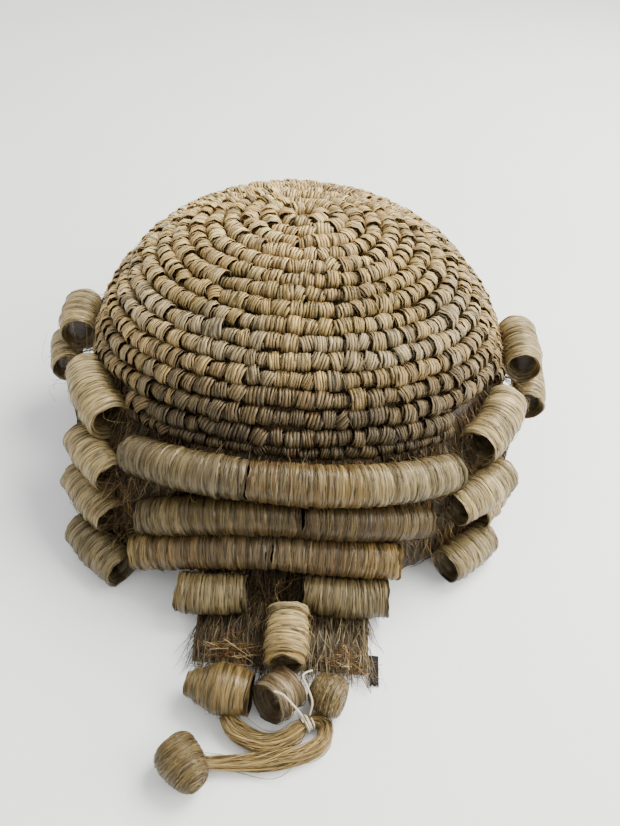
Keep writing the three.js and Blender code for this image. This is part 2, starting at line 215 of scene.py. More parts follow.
def makeFloor(s):
    bpy.ops.object.select_all(action="DESELECT")
    bpy.ops.mesh.primitive_plane_add(size=2 * s["half"], location=(0, 0, 0))
    floor = bpy.context.active_object
    floor.name = "floor"
    sh = Shader("floor_paint")
    place = sh.node("ShaderNodeTexCoord", out=3)
    cloud = sh.node("ShaderNodeTexNoise", None, {"Vector": place, "Scale": 7.0, "Detail": 5.0})
    grain = sh.node("ShaderNodeTexNoise", None, {"Vector": place, "Scale": 900.0, "Detail": 2.0})
    shade = 0.93 + 0.08 * cloud + 0.05 * grain
    colour = sh.shaded((*linear(s["colour"]), 1), shade)
    bumped = sh.node("ShaderNodeBump", None, {"Height": grain, "Distance": 0.0001, "Strength": 0.3})
    floor.data.materials.append(sh.finish(Base_Color=colour, Roughness=s["roughness"], Normal=bumped))


lampSets = {
    "key": {"place": (0.62, 0.5, 1.05), "size": 0.7, "power": 33, "colour": (1.0, 0.985, 0.95)},
    "side": {"place": (0.85, -0.15, 0.55), "size": 0.7, "power": 13, "colour": (1.0, 0.99, 0.96)},
    "fill": {"place": (-0.5, -0.5, 1.3), "size": 1.2, "power": 3, "colour": (0.97, 0.985, 1.0)},
}


def makeLight(sets, sky):
    for name, s in sets.items():
        data = bpy.data.lights.new(name, "AREA")
        data.size, data.energy, data.color = s["size"], s["power"], s["colour"]
        lamp = bpy.data.objects.new(name, data)
        bpy.context.scene.collection.objects.link(lamp)
        lamp.location = s["place"]
        toWig = Vector((0, 0, 0.05)) - lamp.location
        lamp.rotation_euler = toWig.to_track_quat("-Z", "Y").to_euler()
    world = bpy.data.worlds.new("studio")
    bpy.context.scene.world = world
    world.use_nodes = True
    back = world.node_tree.nodes["Background"]
    back.inputs["Color"].default_value = (0.97, 0.985, 1.0, 1)
    back.inputs["Strength"].default_value = sky


makeFloor(floorSet)
makeLight(lampSets, 1.04)

# the cap's form: turn is degrees from the back to the right, off is how far outside the net
# level is 0 at the swirl, 1 at the waist and 2 at the rim

capForm = {"halfWidth": 86, "backReach": 86, "frontReach": 107, "rise": 57.5, "waist": 38.5,
           "rimTuck": 4, "swirlLeft": 2.8, "swirlForward": 11, "planPower": 2.03, "profilePower": 2.05}
rowForm = {"pitch": 6.7, "depth": 5.6, "swirlShare": 0.43, "fan": 0.11}
headMiddle = np.array([0, 0, 30])
upward = np.array([0, 0, 1.0])


def onCap(turn, level, off):
    c = capForm
    angle, level, off = np.broadcast_arrays(np.radians(turn), level, off)
    side, back = np.sin(angle), np.cos(angle)
    fall = np.minimum(level, 1) * math.pi / 2
    power = 2 / c["profilePower"]
    spread = np.where(level < 1, np.sin(fall) ** power, 1)
    lift = np.where(level < 1, np.abs(np.cos(fall)) ** power, 0)
    height = np.where(level < 1, c["waist"] + (c["rise"] + off) * lift, c["waist"] * (2 - level))
    tuck = np.where(level > 1, c["rimTuck"] * (level - 1) ** 2, 0)
    drop = np.where(level < 1, 1 - np.cos(fall), 1)
    brow = c["backReach"] + (c["frontReach"] - c["backReach"]) * drop * drop * (3 - 2 * drop)
    reach = np.where(back >= 0, c["backReach"], brow)
    share = 2 / c["planPower"]
    x = (c["halfWidth"] + off - tuck) * np.sign(side) * np.abs(side) ** share * spread
    y = -(reach + off - tuck) * np.sign(back) * np.abs(back) ** share * spread
    return np.stack([x - c["swirlLeft"] * lift, y + c["swirlForward"] * lift, height], -1)


def atHeight(turn, height, off):
    c = capForm
    if height < c["waist"]:
        return onCap(turn, 2 - height / c["waist"], off)
    lift = min(1, (height - c["waist"]) / (c["rise"] + off))
    return onCap(turn, math.acos(lift ** (c["profilePower"] / 2)) / (math.pi / 2), off)


def unit(vectors):
    return vectors / np.maximum(np.linalg.norm(vectors, axis=-1, keepdims=True), 1e-9)


def mix(a, b, share):
    return a + (b - a) * share


def travelled(lines):
    # how far along its line each point lies
    steps = np.linalg.norm(np.diff(lines, axis=-2), axis=-1)
    return np.concatenate([np.zeros_like(steps[..., :1]), np.cumsum(steps, axis=-1)], axis=-1)


def tableAt(places, grid, rows):
    # rows of three numbers, read at places between those of the grid
    rows = np.asarray(rows)
    return np.stack([np.interp(places, grid, rows[:, k]) for k in range(3)], -1)


def turned(angle, over, across):
    return np.cos(angle)[..., None] * over + np.sin(angle)[..., None] * across


def fanAt(turns):
    return 1 + rowForm["fan"] * np.sin(np.radians(turns)) ** 2


# a line down the cap at each turn, so that a row can be found by its distance from the swirl
slopeLevels = np.linspace(0, 2, 161)


def rowPoints(turns, row, shift, off):
    runs = travelled(onCap(turns[:, None], slopeLevels[None], rowForm["depth"] / 2))
    wanted = (row - 0.5 + rowForm["swirlShare"]) * rowForm["pitch"] * fanAt(turns) + shift
    levels = np.array([np.interp(w, run, slopeLevels) for w, run in zip(wanted, runs)])
    return onCap(turns, levels, off)


# meshes are gathered from arrays of strands: each batch becomes one closed-surface object

tableGap = 0.3


class Batch:
    def __init__(self):
        self.points, self.tints, self.faces, self.maps, self.count = [], [], [], [], 0

    def add(self, points, tints, quads, quadMaps, ends=(), endMaps=()):
        self.points.append(points.reshape(-1, 3))
        self.tints.append(np.broadcast_to(tints, points.shape).reshape(-1, 3))
        self.faces.append((quads + self.count, quadMaps))
        for faces, maps in zip(ends, endMaps):
            self.faces.append((faces + self.count, maps))
        self.count += points.size // 3

    def triangles(self):
        return sum(len(f) * (f.shape[1] - 2) for f, _ in self.faces)

    def make(self, name, replaced, slot, material=None):
        points = np.concatenate(self.points)
        low = points[:, 2] < tableGap
        points[low, 2] = tableGap * np.exp(points[low, 2] / tableGap - 1)
        points = points * mm
        faces = [list(face) for group, _ in self.faces for face in group.tolist()]
        mesh = bpy.data.meshes.new(name)
        mesh.from_pydata(points.tolist(), [], faces)
        layer = mesh.uv_layers.new(name="strandMap")
        layer.data.foreach_set("uv", np.concatenate([m.reshape(-1) for _, m in self.faces]))
        tint = mesh.color_attributes.new("hairTint", "FLOAT_COLOR", "POINT")
        shades = np.concatenate(self.tints)
        tint.data.foreach_set("color", np.c_[shades, np.ones(len(shades))].reshape(-1))
        mesh.polygons.foreach_set("use_smooth", np.ones(len(faces), bool))
        mesh.materials.append(material or hairMaterials[slot])
        mesh.update()
        piece = bpy.data.objects.new(name, mesh)
        bpy.context.scene.collection.objects.link(piece)
        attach(piece, "root")
        if replaced:
            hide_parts(*replaced)


def lattice(count, rings, sides, closedRings=False):
    # corner numbers of the faces of some tubes, and each face's ring and side steps
    joins = rings if closedRings else rings - 1
    i, j = np.meshgrid(np.arange(joins), np.arange(sides), indexing="ij")
    nextRing, nextSide = (i + 1) % rings, (j + 1) % sides
    quads = np.stack([i * sides + j, i * sides + nextSide, nextRing * sides + nextSide,
                      nextRing * sides + j], -1).reshape(-1, 4)
    ringSteps = np.stack([i, i, i + 1, i + 1], -1).reshape(-1, 4)
    sideSteps = np.stack([j, j + 1, j + 1, j], -1).reshape(-1, 4)
    return quads[None] + (np.arange(count) * rings * sides)[:, None, None], ringSteps, sideSteps


def addStrands(batch, centres, outward, width, depth, tints, sides=4):
    # tubes along many lines at once: centres and outward are (strands, steps, 3)
    count, steps = centres.shape[:2]
    along = unit(np.gradient(centres, axis=1))
    out = unit(outward - along * np.sum(outward * along, -1, keepdims=True))
    beside = np.cross(along, out)
    width = np.broadcast_to(width, (count, steps))[..., None, None]
    depth = np.broadcast_to(depth, (count, steps))[..., None, None]
    angle = turnFull * (np.arange(sides) + 0.5) / sides
    angle = angle[None, None, :, None]
    points = (centres[:, :, None] + depth * np.cos(angle) * out[:, :, None]
              + width * np.sin(angle) * beside[:, :, None])
    quads, ringSteps, sideSteps = lattice(count, steps, sides)
    travel = travelled(centres)
    girth = 2 * (width + depth).mean(axis=(1, 2, 3)) + 0.01
    place = chance.uniform(0, 400, (count, 2))
    maps = np.stack([travel[:, ringSteps] + place[:, None, None, 0],
                     sideSteps[None] * (girth / sides)[:, None, None] + place[:, None, None, 1]], -1)
    first = (np.arange(count) * steps * sides)[:, None]
    starts = first + np.arange(sides)[None, ::-1]
    stops = first + (steps - 1) * sides + np.arange(sides)[None]
    flat = np.zeros((count, sides, 2)) + place[:, None]
    tints = np.asarray(tints, float)
    tints = tints[:, None, None] if tints.ndim == 2 else tints[:, :, None]
    batch.add(points, tints, quads.reshape(-1, 4), maps.reshape(-1, 4, 2), (starts, stops), (flat, flat))


def isInsideOut(points, quads):
    a, b, c, d = (points.reshape(-1, 3)[quads[:, k]] for k in range(4))
    return np.sum(a * np.cross(b, c)) + np.sum(a * np.cross(c, d)) < 0


def addShell(batch, rings, tints, mapSteps):
    # one closed skin through rings of points, with a face over each end
    count, around = rings.shape[:2]
    quads, ringSteps, sideSteps = lattice(1, count, around)
    quads, maps = quads[0], np.stack([sideSteps * mapSteps[0], ringSteps * mapSteps[1]], -1)
    loop = np.arange(around)[None]
    caps = [loop[:, ::-1], loop + (count - 1) * around]
    flat = np.zeros((1, around, 2))
    if isInsideOut(rings, quads):
        quads, maps, caps = quads[:, ::-1], maps[:, ::-1], [c[:, ::-1] for c in caps]
    batch.add(rings, tints, quads, maps, caps, (flat, flat))


def smoothNoise(values, waves, rate=1.0):
    total = np.zeros(np.shape(values))
    for _ in range(waves):
        total += np.sin(values * rate * chance.uniform(0.4, 1.9) + chance.uniform(0, turnFull))
    return total / waves


# hair colours, as seen in plain light

warmth = np.array([0.8, 0.72, 0.54])
hairShades = {name: np.array(linear(shade)) * warmth for name, shade in {
    "peach": (216, 190, 146), "pale": (226, 208, 164), "straw": (202, 176, 122),
    "olive": (186, 166, 112), "silver": (190, 180, 160), "grey": (142, 130, 112),
    "brown": (142, 116, 82), "umber": (96, 77, 55), "dark": (54, 41, 29), "rust": (160, 110, 70),
    "gold": (194, 163, 104), "cream": (236, 221, 182)}.items()}


def shades(names, weights=None, count=1):
    picked = chance.choice(len(names), count, p=weights)
    return np.array([hairShades[n] for n in names])[picked]


# frizz: each row is a chain of small wound curls, open at the end nearer the back

frizzSet = {"turns": 6, "stepsPerTurn": 8, "length": (3.9, 7.2), "radius": 2.95, "axisOff": 3.05,
            "across": 1.12, "bundleShare": 0.68, "bundleDepth": 0.36, "tilt": 0.17, "lift": 0.1,
            "endTurn": 0.1, "endCurl": 0.5, "barrel": 0.2, "endShade": 0.72, "belowShade": 0.42,
            "looseShare": 0.8, "wild": 0.08, "wildTilt": 0.3, "flare": (0.97, 0.14), "slip": 0.1,
            "ringLuck": 0.2, "loopThick": 0.09, "loopSteps": 9, "loopDrift": 3.2}
rowShades = [
    {"row": 0, "names": ["peach", "pale", "straw", "brown"], "weights": [0.35, 0.3, 0.25, 0.1]},
    {"row": 6, "names": ["straw", "peach", "pale", "olive"], "weights": [0.35, 0.25, 0.2, 0.2]},
    {"row": 9, "names": ["straw", "olive", "pale", "silver"], "weights": [0.35, 0.2, 0.2, 0.25]},
    {"row": 10, "names": ["silver", "straw", "grey", "peach"], "weights": [0.5, 0.2, 0.2, 0.1]},
    {"row": 12, "names": ["brown", "straw", "peach", "silver"], "weights": [0.35, 0.3, 0.2, 0.15]},
    {"row": 13, "names": ["brown", "umber", "grey", "straw"], "weights": [0.35, 0.25, 0.2, 0.2]},
    {"row": 15, "names": ["umber", "brown", "grey", "rust"], "weights": [0.4, 0.33, 0.22, 0.05]},
]
rowCommon = 0.42 * hairShades["straw"] + 0.33 * hairShades["peach"] + 0.25 * hairShades["silver"]
rowLight = {"rows": (0, 4, 7, 10.5, 12.5, 14, 17), "levels": (1.3, 1.14, 0.64, 0.8, 0.56, 0.27, 0.2),
            "side": 1.35, "sideFrom": 30, "sideReach": 70, "slope": 0.16, "slopeTurn": 55,
            "rimRow": 17, "rimLevel": 0.7}


def beadShades(turns, row):
    s = rowLight
    table = [t for t in rowShades if t["row"] <= row][-1]
    base = shades(table["names"], table["weights"], len(turns))
    plain = shades(["straw", "olive", "brown", "peach"], [0.35, 0.3, 0.2, 0.15], len(turns))
    patch = smoothNoise(turns, 4, 0.11)
    main = np.where(np.abs(turns)[:, None] > 75, plain, hairShades[table["names"][0]])
    base = mix(mix(base, main, 0.3 + 0.25 * patch[:, None]), rowCommon, 0.35)
    # painted light and shade: each row's brightness from rowLight, lighter on the sides and towards the
    # left, multiplies the colour
    toSide = np.clip((np.abs(turns) - s["sideFrom"]) / s["sideReach"], 0, 1)
    light = mix(np.interp(row, s["rows"], s["levels"]), s["side"], toSide)
    light = light if row < s["rimRow"] else s["rimLevel"]
    light = light * (1 - s["slope"] * np.clip(turns / s["slopeTurn"], -1, 1))
    return base * light[:, None] * (1 + 0.1 * chance.normal(size=(len(turns), 1)))


def rowBeads(row, start, stop, squeeze):
    s = frizzSet
    fine = np.linspace(start, stop, max(60, int((stop - start) * 1.5)))
    shift = -(1 - squeeze) * rowForm["pitch"] / 2
    line = rowPoints(fine, row, shift, s["axisOff"] * squeeze)
    below = rowPoints(fine, row, shift + 1, s["axisOff"] * squeeze)
    travel = travelled(line)
    count = max(6, int(travel[-1] / np.mean(s["length"])))
    lengths = chance.uniform(*s["length"], count) * (1 + 0.15 * (row > 13))
    lengths *= travel[-1] / lengths.sum()
    middles = np.cumsum(lengths) - lengths / 2
    turns = np.interp(middles, travel, fine)
    centre = tableAt(middles, travel, line)
    axis = unit(tableAt(middles, travel, np.gradient(line, axis=0)))
    down = unit(tableAt(middles, travel, below - line))
    normal = unit(np.cross(axis, down))
    normal *= np.sign(np.sum(normal * (centre - headMiddle), -1, keepdims=True))
    eitherWay = (np.abs(turns) < 9) | (np.abs(turns) > 150)
    way = np.where(eitherWay, chance.choice([-1, 1], count), np.where(turns > 0, -1, 1))
    return turns, centre, axis * way[:, None], down, normal, lengths


def addCoils(batch, centre, axis, normal, lengths, radius, wide, tints):
    s = frizzSet
    count, steps = len(lengths), s["turns"] * s["stepsPerTurn"] + 1
    share = np.linspace(0, 1, steps)[None]
    across = np.cross(normal, axis)
    wild = s["wildTilt"] * (chance.random((count, 1)) < s["wild"])
    axis = unit(axis + (s["tilt"] + wild) * chance.normal(size=(count, 1)) * across
                + (s["lift"] + 0.06 * chance.normal(size=(count, 1))) * normal)
    across = np.cross(normal, axis)
    angle = turnFull * s["turns"] * share + chance.uniform(0, turnFull, (count, 1))
    inward = np.maximum(np.abs(2 * share - 1) - 1 + 2 * s["endTurn"], 0) / (2 * s["endTurn"])
    barrel = 1 - s["barrel"] * np.abs(2 * share - 1) ** 2.2
    flare = (s["flare"][0] + s["flare"][1] * share) * barrel * (1 - s["endCurl"] * inward)
    size = radius[:, None] * flare * (1 + 0.035 * chance.normal(size=(count, steps)))
    out = (np.cos(angle)[..., None] * normal[:, None]
           + (wide[:, None] * s["across"] * np.sin(angle))[..., None] * across[:, None])
    pitch = (lengths / s["turns"])[:, None]
    fullness = chance.uniform(0.86, 1.06, (count, 1))
    reach = np.clip((share - 0.5) / (1 - 2 * s["endTurn"]), -0.5, 0.5) * lengths[:, None] * fullness
    slip = s["slip"] * pitch * chance.normal(size=(count, steps))
    centres = centre[:, None] + axis[:, None] * (reach + slip)[..., None] + out * size[..., None]
    width = s["bundleShare"] * pitch * (1 + 0.2 * chance.normal(size=(count, steps)))
    ringLuck = np.repeat(chance.normal(size=(count, s["turns"] + 1)), s["stepsPerTurn"], 1)
    tints = tints[:, None] * (1 + s["ringLuck"] * ringLuck)[:, :steps, None]
    # painted light and shade: each curl is lighter where it faces out and up and darker underneath, up to
    # a painted highlight of 1.16, and darker at both ends as painted shade in the gaps between curls
    nearEnd = np.abs(2 * share - 1) ** 4
    face = 0.6 * np.cos(angle) + 0.4 * out[..., 2]
    facing = mix(s["belowShade"], 1.16, np.clip(0.3 + 0.8 * face, 0, 1))
    tints = tints * ((1.1 - s["endShade"] * nearEnd) * facing)[..., None]
    addStrands(batch, centres, out, np.clip(width, 0.25, 0.95), s["bundleDepth"],
               np.clip(tints, 0.01, 1), sides=3)


def addLooseLoops(batch, centre, axis, normal, radius, tints):
    # a single hair that has sprung from each of some small curls
    s = frizzSet
    count = len(centre)
    across = np.cross(normal, axis)
    share = np.linspace(0, 1, s["loopSteps"])[None]
    angle = chance.uniform(-1.9, -0.6, (count, 1)) + share * chance.uniform(1.6, 3.4, (count, 1))
    out = turned(angle, normal[:, None], across[:, None])
    size = radius[:, None] * chance.uniform(1.04, 1.24, (count, 1))
    drift = (share - 0.5) * chance.normal(size=(count, 1)) * s["loopDrift"]
    start = centre + axis * chance.normal(size=(count, 1)) * 1.6
    centres = start[:, None] + out * size[..., None] + axis[:, None] * drift[..., None]
    addStrands(batch, centres, out, s["loopThick"], s["loopThick"], tints * 1.2, sides=3)


def makeRow(name, row, start, stop, squeeze, slot):
    batch = Batch()
    turns, centre, axis, down, normal, lengths = rowBeads(row, start, stop, squeeze)
    count = len(turns)
    radius = frizzSet["radius"] * squeeze ** 0.5 * (1 + 0.1 * chance.normal(size=count))
    centre = centre + down * 0.3 * chance.normal(size=(count, 1))
    centre = centre + normal * 0.2 * chance.normal(size=(count, 1))
    tints = beadShades(turns, row)
    addCoils(batch, centre, axis, normal, lengths, radius, fanAt(turns), tints)
    loose = chance.random(count) < frizzSet["looseShare"]
    addLooseLoops(batch, centre[loose], axis[loose], normal[loose], radius[loose], tints[loose])
    batch.make("curls_" + name, (name,), slot)
    return count, batch.triangles()


def numbered(prefix):
    return sorted((int(name[len(prefix):]), name) for name in nodes if name.startswith(prefix))


rowTurns = {"frizz": (-180, 180), "back": (-45, 45), "brow": (72, 288)}
beadTotal = np.zeros(2, int)
for row, name in numbered("frizz_row_"):
    beadTotal += makeRow(name, row, *rowTurns["frizz"], 1, "straw_hair" if row < 12 else "dark_hair")
backRows = numbered("back_row_")
for row, name in backRows:
    squeeze = 0.6 if row == backRows[-1][0] else 1
    beadTotal += makeRow(name, row, *rowTurns["back"], squeeze, "dark_hair")
for row, name in numbered("brow_row_"):
    beadTotal += makeRow(name, row, *rowTurns["brow"], 1, "straw_hair")
print("frizz rows:", beadTotal[0], "curls,", beadTotal[1], "triangles")

swirlSet = {"curls": 11, "inner": 0.9, "outer": 4.2, "height": 1.7, "width": 0.42, "depth": 0.36,
            "folds": (-0.28, 0, 0.28)}


def makeSwirl(s):
    batch = Batch()
    top = onCap(0, 0, 1.2)
    angle = (np.arange(s["curls"]) + chance.uniform(-0.2, 0.2, s["curls"])) * turnFull / s["curls"]
    share = np.linspace(0, 1, 9)[None]
    reach = mix(s["inner"], s["outer"], share)
    rise = s["height"] * np.sin(math.pi * share) ** 0.7 * chance.uniform(0.8, 1.3, (s["curls"], 1))
    for fold in s["folds"]:
        outward = np.stack([np.cos(angle + fold), np.sin(angle + fold), 0 * angle], -1)
        centres = top + outward[:, None] * reach[..., None] + rise[..., None] * upward
        addStrands(batch, centres, np.broadcast_to(upward, centres.shape), s["width"], s["depth"],
                   shades(["umber", "brown", "straw"], [0.4, 0.35, 0.25], s["curls"]))
    batch.make("curls_swirl", ("crown_swirl",), "dark_hair")


makeSwirl(swirlSet)


# rolls: hair wound round and round into a hollow roll, with its layers showing at the ends

def smoothPath(points, steps):
    points = np.asarray(points, float)
    ends = np.concatenate([[2 * points[0] - points[1]], points, [2 * points[-1] - points[-2]]])
    share = np.linspace(0, 1, 24, endpoint=False)[:, None]
    line = []
    for a, b, c, d in zip(ends, ends[1:], ends[2:], ends[3:]):
        line.append(b + 0.5 * share * (c - a + share * (2 * a - 5 * b + 4 * c - d
                    + share * (3 * (b - c) + d - a))))
    line = np.concatenate(line + [points[-1:]])
    travel = travelled(line)
    wanted = np.linspace(0, travel[-1], steps) if np.isscalar(steps) else steps * travel[-1]
    return tableAt(wanted, travel, line), travel[-1]


def pathFrame(line):
    along = unit(np.gradient(line, axis=0))
    over = unit(upward - along * along[:, 2:])
    return along, over, np.cross(over, along)


# the end of a roll: how deep each edge lies, in millimetres, and its share of the radius
rollEnd = [(0.0, 0.98), (0.1, 0.94), (2.6, 0.91), (1.1, 0.89), (1.0, 0.84), (4.2, 0.82), (2.6, 0.8),
           (2.6, 0.75), (6.0, 0.72)]
spiralEnd = [(0.0, 0.98), (0.2, 0.91), (1.4, 0.87), (0.7, 0.79), (2.0, 0.74), (1.3, 0.66),
             (3.0, 0.6), (2.3, 0.52), (5.5, 0.46)]
rollSet = {"sides": 27, "ringStep": 0.34, "bundle": (0.4, 1.2), "gapDepth": 0.4, "band": (2.4, 6.5),
           "bandStep": 0.6, "bandEdgeShade": 0.62, "wave": 0.4, "endDrop": 0.93, "spiral": 0.1,
           "longer": (0.0, 0.0), "taper": (1, 1), "end": rollEnd, "endRound": 1.2, "endRange": 0.9,
           "ragged": 0.6, "tone": 0.7, "bundleTone": (0.76, 0.36), "belowShade": 0.42,
           "insideShade": 0.75, "bandTone": (0.78, 0.42), "grooveShade": (0.3, 1.75, 0.4),
           "looseEvery": 0.6, "looseThick": (0.07, 0.13), "looseSpread": 0.9, "looseSteps": 15}
curlSet = {"bundle": (0.4, 1.1), "gapDepth": 0.12, "band": (3.0, 6.0), "bandStep": 1.1, "wave": 0.45,
           "endDrop": 0.97, "looseEvery": 1.1, "longer": (1.5, 1.5), "endRound": 0.3, "tone": 0.62,
           "insideShade": 0.35, "bundleTone": (0.8, 0.28)}


def bundlesAt(places, length, widths):
    # the bundle of hair at each place, how far across the bundle that is, and each bundle's luck
    edges = np.cumsum(chance.uniform(*widths, int(3 * length / sum(widths)) + 30)) - 12
    luck = chance.random((len(edges), 3))
    index = np.clip(np.searchsorted(edges, places) - 1, 0, len(edges) - 2)
    return index, (places - edges[index]) / (edges[index + 1] - edges[index]), luck


def longerPath(centres, extra):
    # the same path, drawn out straight at its ends
    centres = [np.array(c, float) for c in centres]
    first, last = unit(centres[0] - centres[1]), unit(centres[-1] - centres[-2])
    return [centres[0] + first * extra[0], *centres[1:-1], centres[-1] + last * extra[1]]


def framesAlong(centres, at):
    grid = np.linspace(0, 1, 200)
    smooth, _ = smoothPath(centres, grid)
    return [tableAt(at, grid, rows) for rows in (smooth, *pathFrame(smooth))]


def swell(s, at):
    return mix(s["endDrop"], 1, np.sin(math.pi * at) ** 0.6)


def taperAt(s, at):
    return np.interp(at, [0, 0.5, 1], [s["taper"][0], 1, s["taper"][1]])


def rollProfile(s, length, radius):
    # rings of the closed skin: over the roll, in at its far end, through the bore and out again
    outer = np.linspace(0, 1, int(length / s["ringStep"]))
    deep = np.array([(depth / length, share) for depth, share in s["end"] if depth < 0.45 * length])
    near, edge = deep[:, 0], radius * deep[:, 1]
    bore = np.linspace(near[-1] + 0.1, 1 - near[-1] - 0.1, 4)
    stations = np.concatenate([outer, 1 - near, bore[::-1], near[::-1]])
    fromEnd = np.minimum(outer, 1 - outer) * length
    over = radius * swell(s, outer) - s["endRound"] * np.exp(-fromEnd / s["endRange"])
    sizes = np.concatenate([over, edge, np.full(len(bore), edge[-1]), edge[::-1]])
    return stations, sizes * taperAt(s, stations), np.arange(len(stations)) < len(outer)


def makeRoll(name, centres, radius, palette, slot, colourStops=None, settings=None):
    s = {**rollSet, **(settings or {})}
    batch = Batch()
    centres = longerPath(centres, s["longer"])
    _, length = smoothPath(centres, 40)
    stations, sizes, skin = rollProfile(s, length, radius)
    line, _ = smoothPath(centres, stations)
    along, over, across = (unit(rows) for rows in framesAlong(centres, stations)[1:])
    angle = turnFull * (np.arange(s["sides"]) / s["sides"]) - math.pi
    direction = turned(angle[None], over[:, None], across[:, None])
    position = stations[:, None] * length
    wander = np.sin(angle + 0.9)[None] + 0.6 * np.sin(2 * angle[None] + position * 0.12 + 1.0)
    wander = s["wave"] * (wander + 1.4 * smoothNoise(position * 0.25 + angle[None] * 0.6, 3))
    lookup = position + wander
    index, within, luck = bundlesAt(lookup, length, s["bundle"])
    band, bandShare, bandLuck = bundlesAt(position + 1.6 * wander, length, s["band"])
    crown = 1 - np.abs(2 * within - 1) ** 3
    fade = 0.5 + 0.5 * np.sin(angle[None] + luck[index, 0] * 9)
    step = bandShare * (0.4 + bandLuck[band, 0]) - 0.6 * np.exp(-bandShare * 14) - 0.5
    bulge = (crown - 1) * s["gapDepth"] * (0.25 + luck[index, 1] ** 2) * (0.4 + 0.6 * fade) \
        + 0.3 * (luck[index, 2] - 0.5) + s["bandStep"] * step
    spiral = s["spiral"] * radius * ((angle + math.pi) / turnFull)[None] * (~skin)[:, None]
    size = sizes[:, None] - spiral + np.where(skin[:, None], bulge, 0)
    size = size * (1 + 0.012 * np.sin(3 * angle[None] + 7 * luck[0, 0]))
    ragged = 0.6 * np.sin(3 * angle + luck[1, 0] * 9) + 0.3 * np.sin(8 * angle + luck[2, 0] * 9)
    endward = np.where(stations > 0.5, 1.0, -1.0) * (np.abs(stations - 0.5) > 0.46)
    points = line[:, None] + direction * size[..., None] \
        + along[:, None] * (s["ragged"] * ragged[None] * endward[:, None])[..., None]

    stops = colourStops or [(0, palette[0]), (1, palette[-1])]
    base = tableAt(np.clip(lookup / length, 0, 1), [at for at, _ in stops],
                   [hairShades[n] for _, n in stops])
    pick = (luck[index, 2] * len(palette)).astype(int) % len(palette)
    other = np.array([hairShades[n] for n in palette])[pick]
    plain, varied = s["bundleTone"]
    # the tone sets how dark the whole roll is: the hair's own colour together with painted shade
    tints = s["tone"] * mix(base, other, 0.3) * (plain + varied * luck[index, 0])[..., None]
    tints = tints * (s["bandTone"][0] + s["bandTone"][1] * bandLuck[band, 1])[..., None]
    # painted shade: the colour darkens towards the edges of each bundle, in the grooves between bundles
    least, rise, rim = s["grooveShade"]
    tints = tints * np.where(crown < rim, least + rise * crown, 1)[..., None]
    # painted light and shade: darker on the roll's underside and lighter on its top, up to a painted
    # highlight of 1.12
    tints = tints * mix(s["belowShade"], 1.12, np.clip(0.62 + 0.75 * direction[..., 2:], 0, 1))
    # painted shade: a dark line in the groove where each band begins
    tints = tints * (1 - s["bandEdgeShade"] * np.exp(-bandShare * 11))[..., None]
    # painted shade: the layers inside the roll's ends and its bore are mixed towards umber, more the
    # deeper they lie
    inside = np.clip((0.92 - sizes / radius) * 2.6, 0, s["insideShade"]) * ~skin
    tints = mix(tints, hairShades["umber"], inside[:, None, None])

    quads, ringSteps, sideSteps = lattice(1, len(stations), s["sides"], closedRings=True)
    quads = quads[0]
    ringGaps = np.linalg.norm(np.diff(np.concatenate([points, points[:1]]), axis=0), axis=2).mean(1)
    travel = np.concatenate([[0], np.cumsum(ringGaps)])
    maps = np.stack([sideSteps * turnFull * radius / s["sides"], travel[ringSteps]], -1)
    maps = maps + chance.uniform(0, 300, 2)
    if isInsideOut(points, quads):
        quads, maps = quads[:, ::-1], maps[:, ::-1]
    batch.add(points, tints, quads, maps)
    addWraps(batch, centres, length, radius, palette, s)
    batch.make("wound_" + name, (name,), slot)
    return batch.triangles()


def addWraps(batch, centres, length, radius, palette, s):
    # single hairs that lie round the roll, and a few that stand off it
    count = int(length / s["looseEvery"]) + 6
    share = np.linspace(0, 1, s["looseSteps"])[None]
    start = chance.uniform(0.02, 0.98, (count, 1))
    drift = chance.normal(size=(count, 1)) * 1.6 / length
    drift = drift + 0.5 / length * np.sin(share * 5 + start * 40)
    at = np.clip(start + drift * share, 0.01, 0.99)
    line, _, over, across = framesAlong(centres, at)
    angle = chance.uniform(-3.0, 0.6, (count, 1)) + share * chance.uniform(1.6, 4.2, (count, 1))
    out = unit(turned(angle, over, across))
    off = radius * swell(s, at) * taperAt(s, at) + chance.uniform(0.0, 0.3, (count, 1))
    fly = (chance.random((count, 1)) < 0.12) * chance.uniform(0.5, 2.2, (count, 1)) * s["looseSpread"]
    off = off + fly * np.sin(math.pi * share)
    thick = chance.uniform(*s["looseThick"], (count, 1))
    tints = np.array([hairShades[n] for n in palette])[chance.integers(0, len(palette), count)]
    tints = np.clip(s["tone"] * tints * chance.uniform(0.6, 1.35, (count, 1)), 0, 1)
    addStrands(batch, line + out * off[..., None], out, thick, thick * 0.8, tints, sides=3)


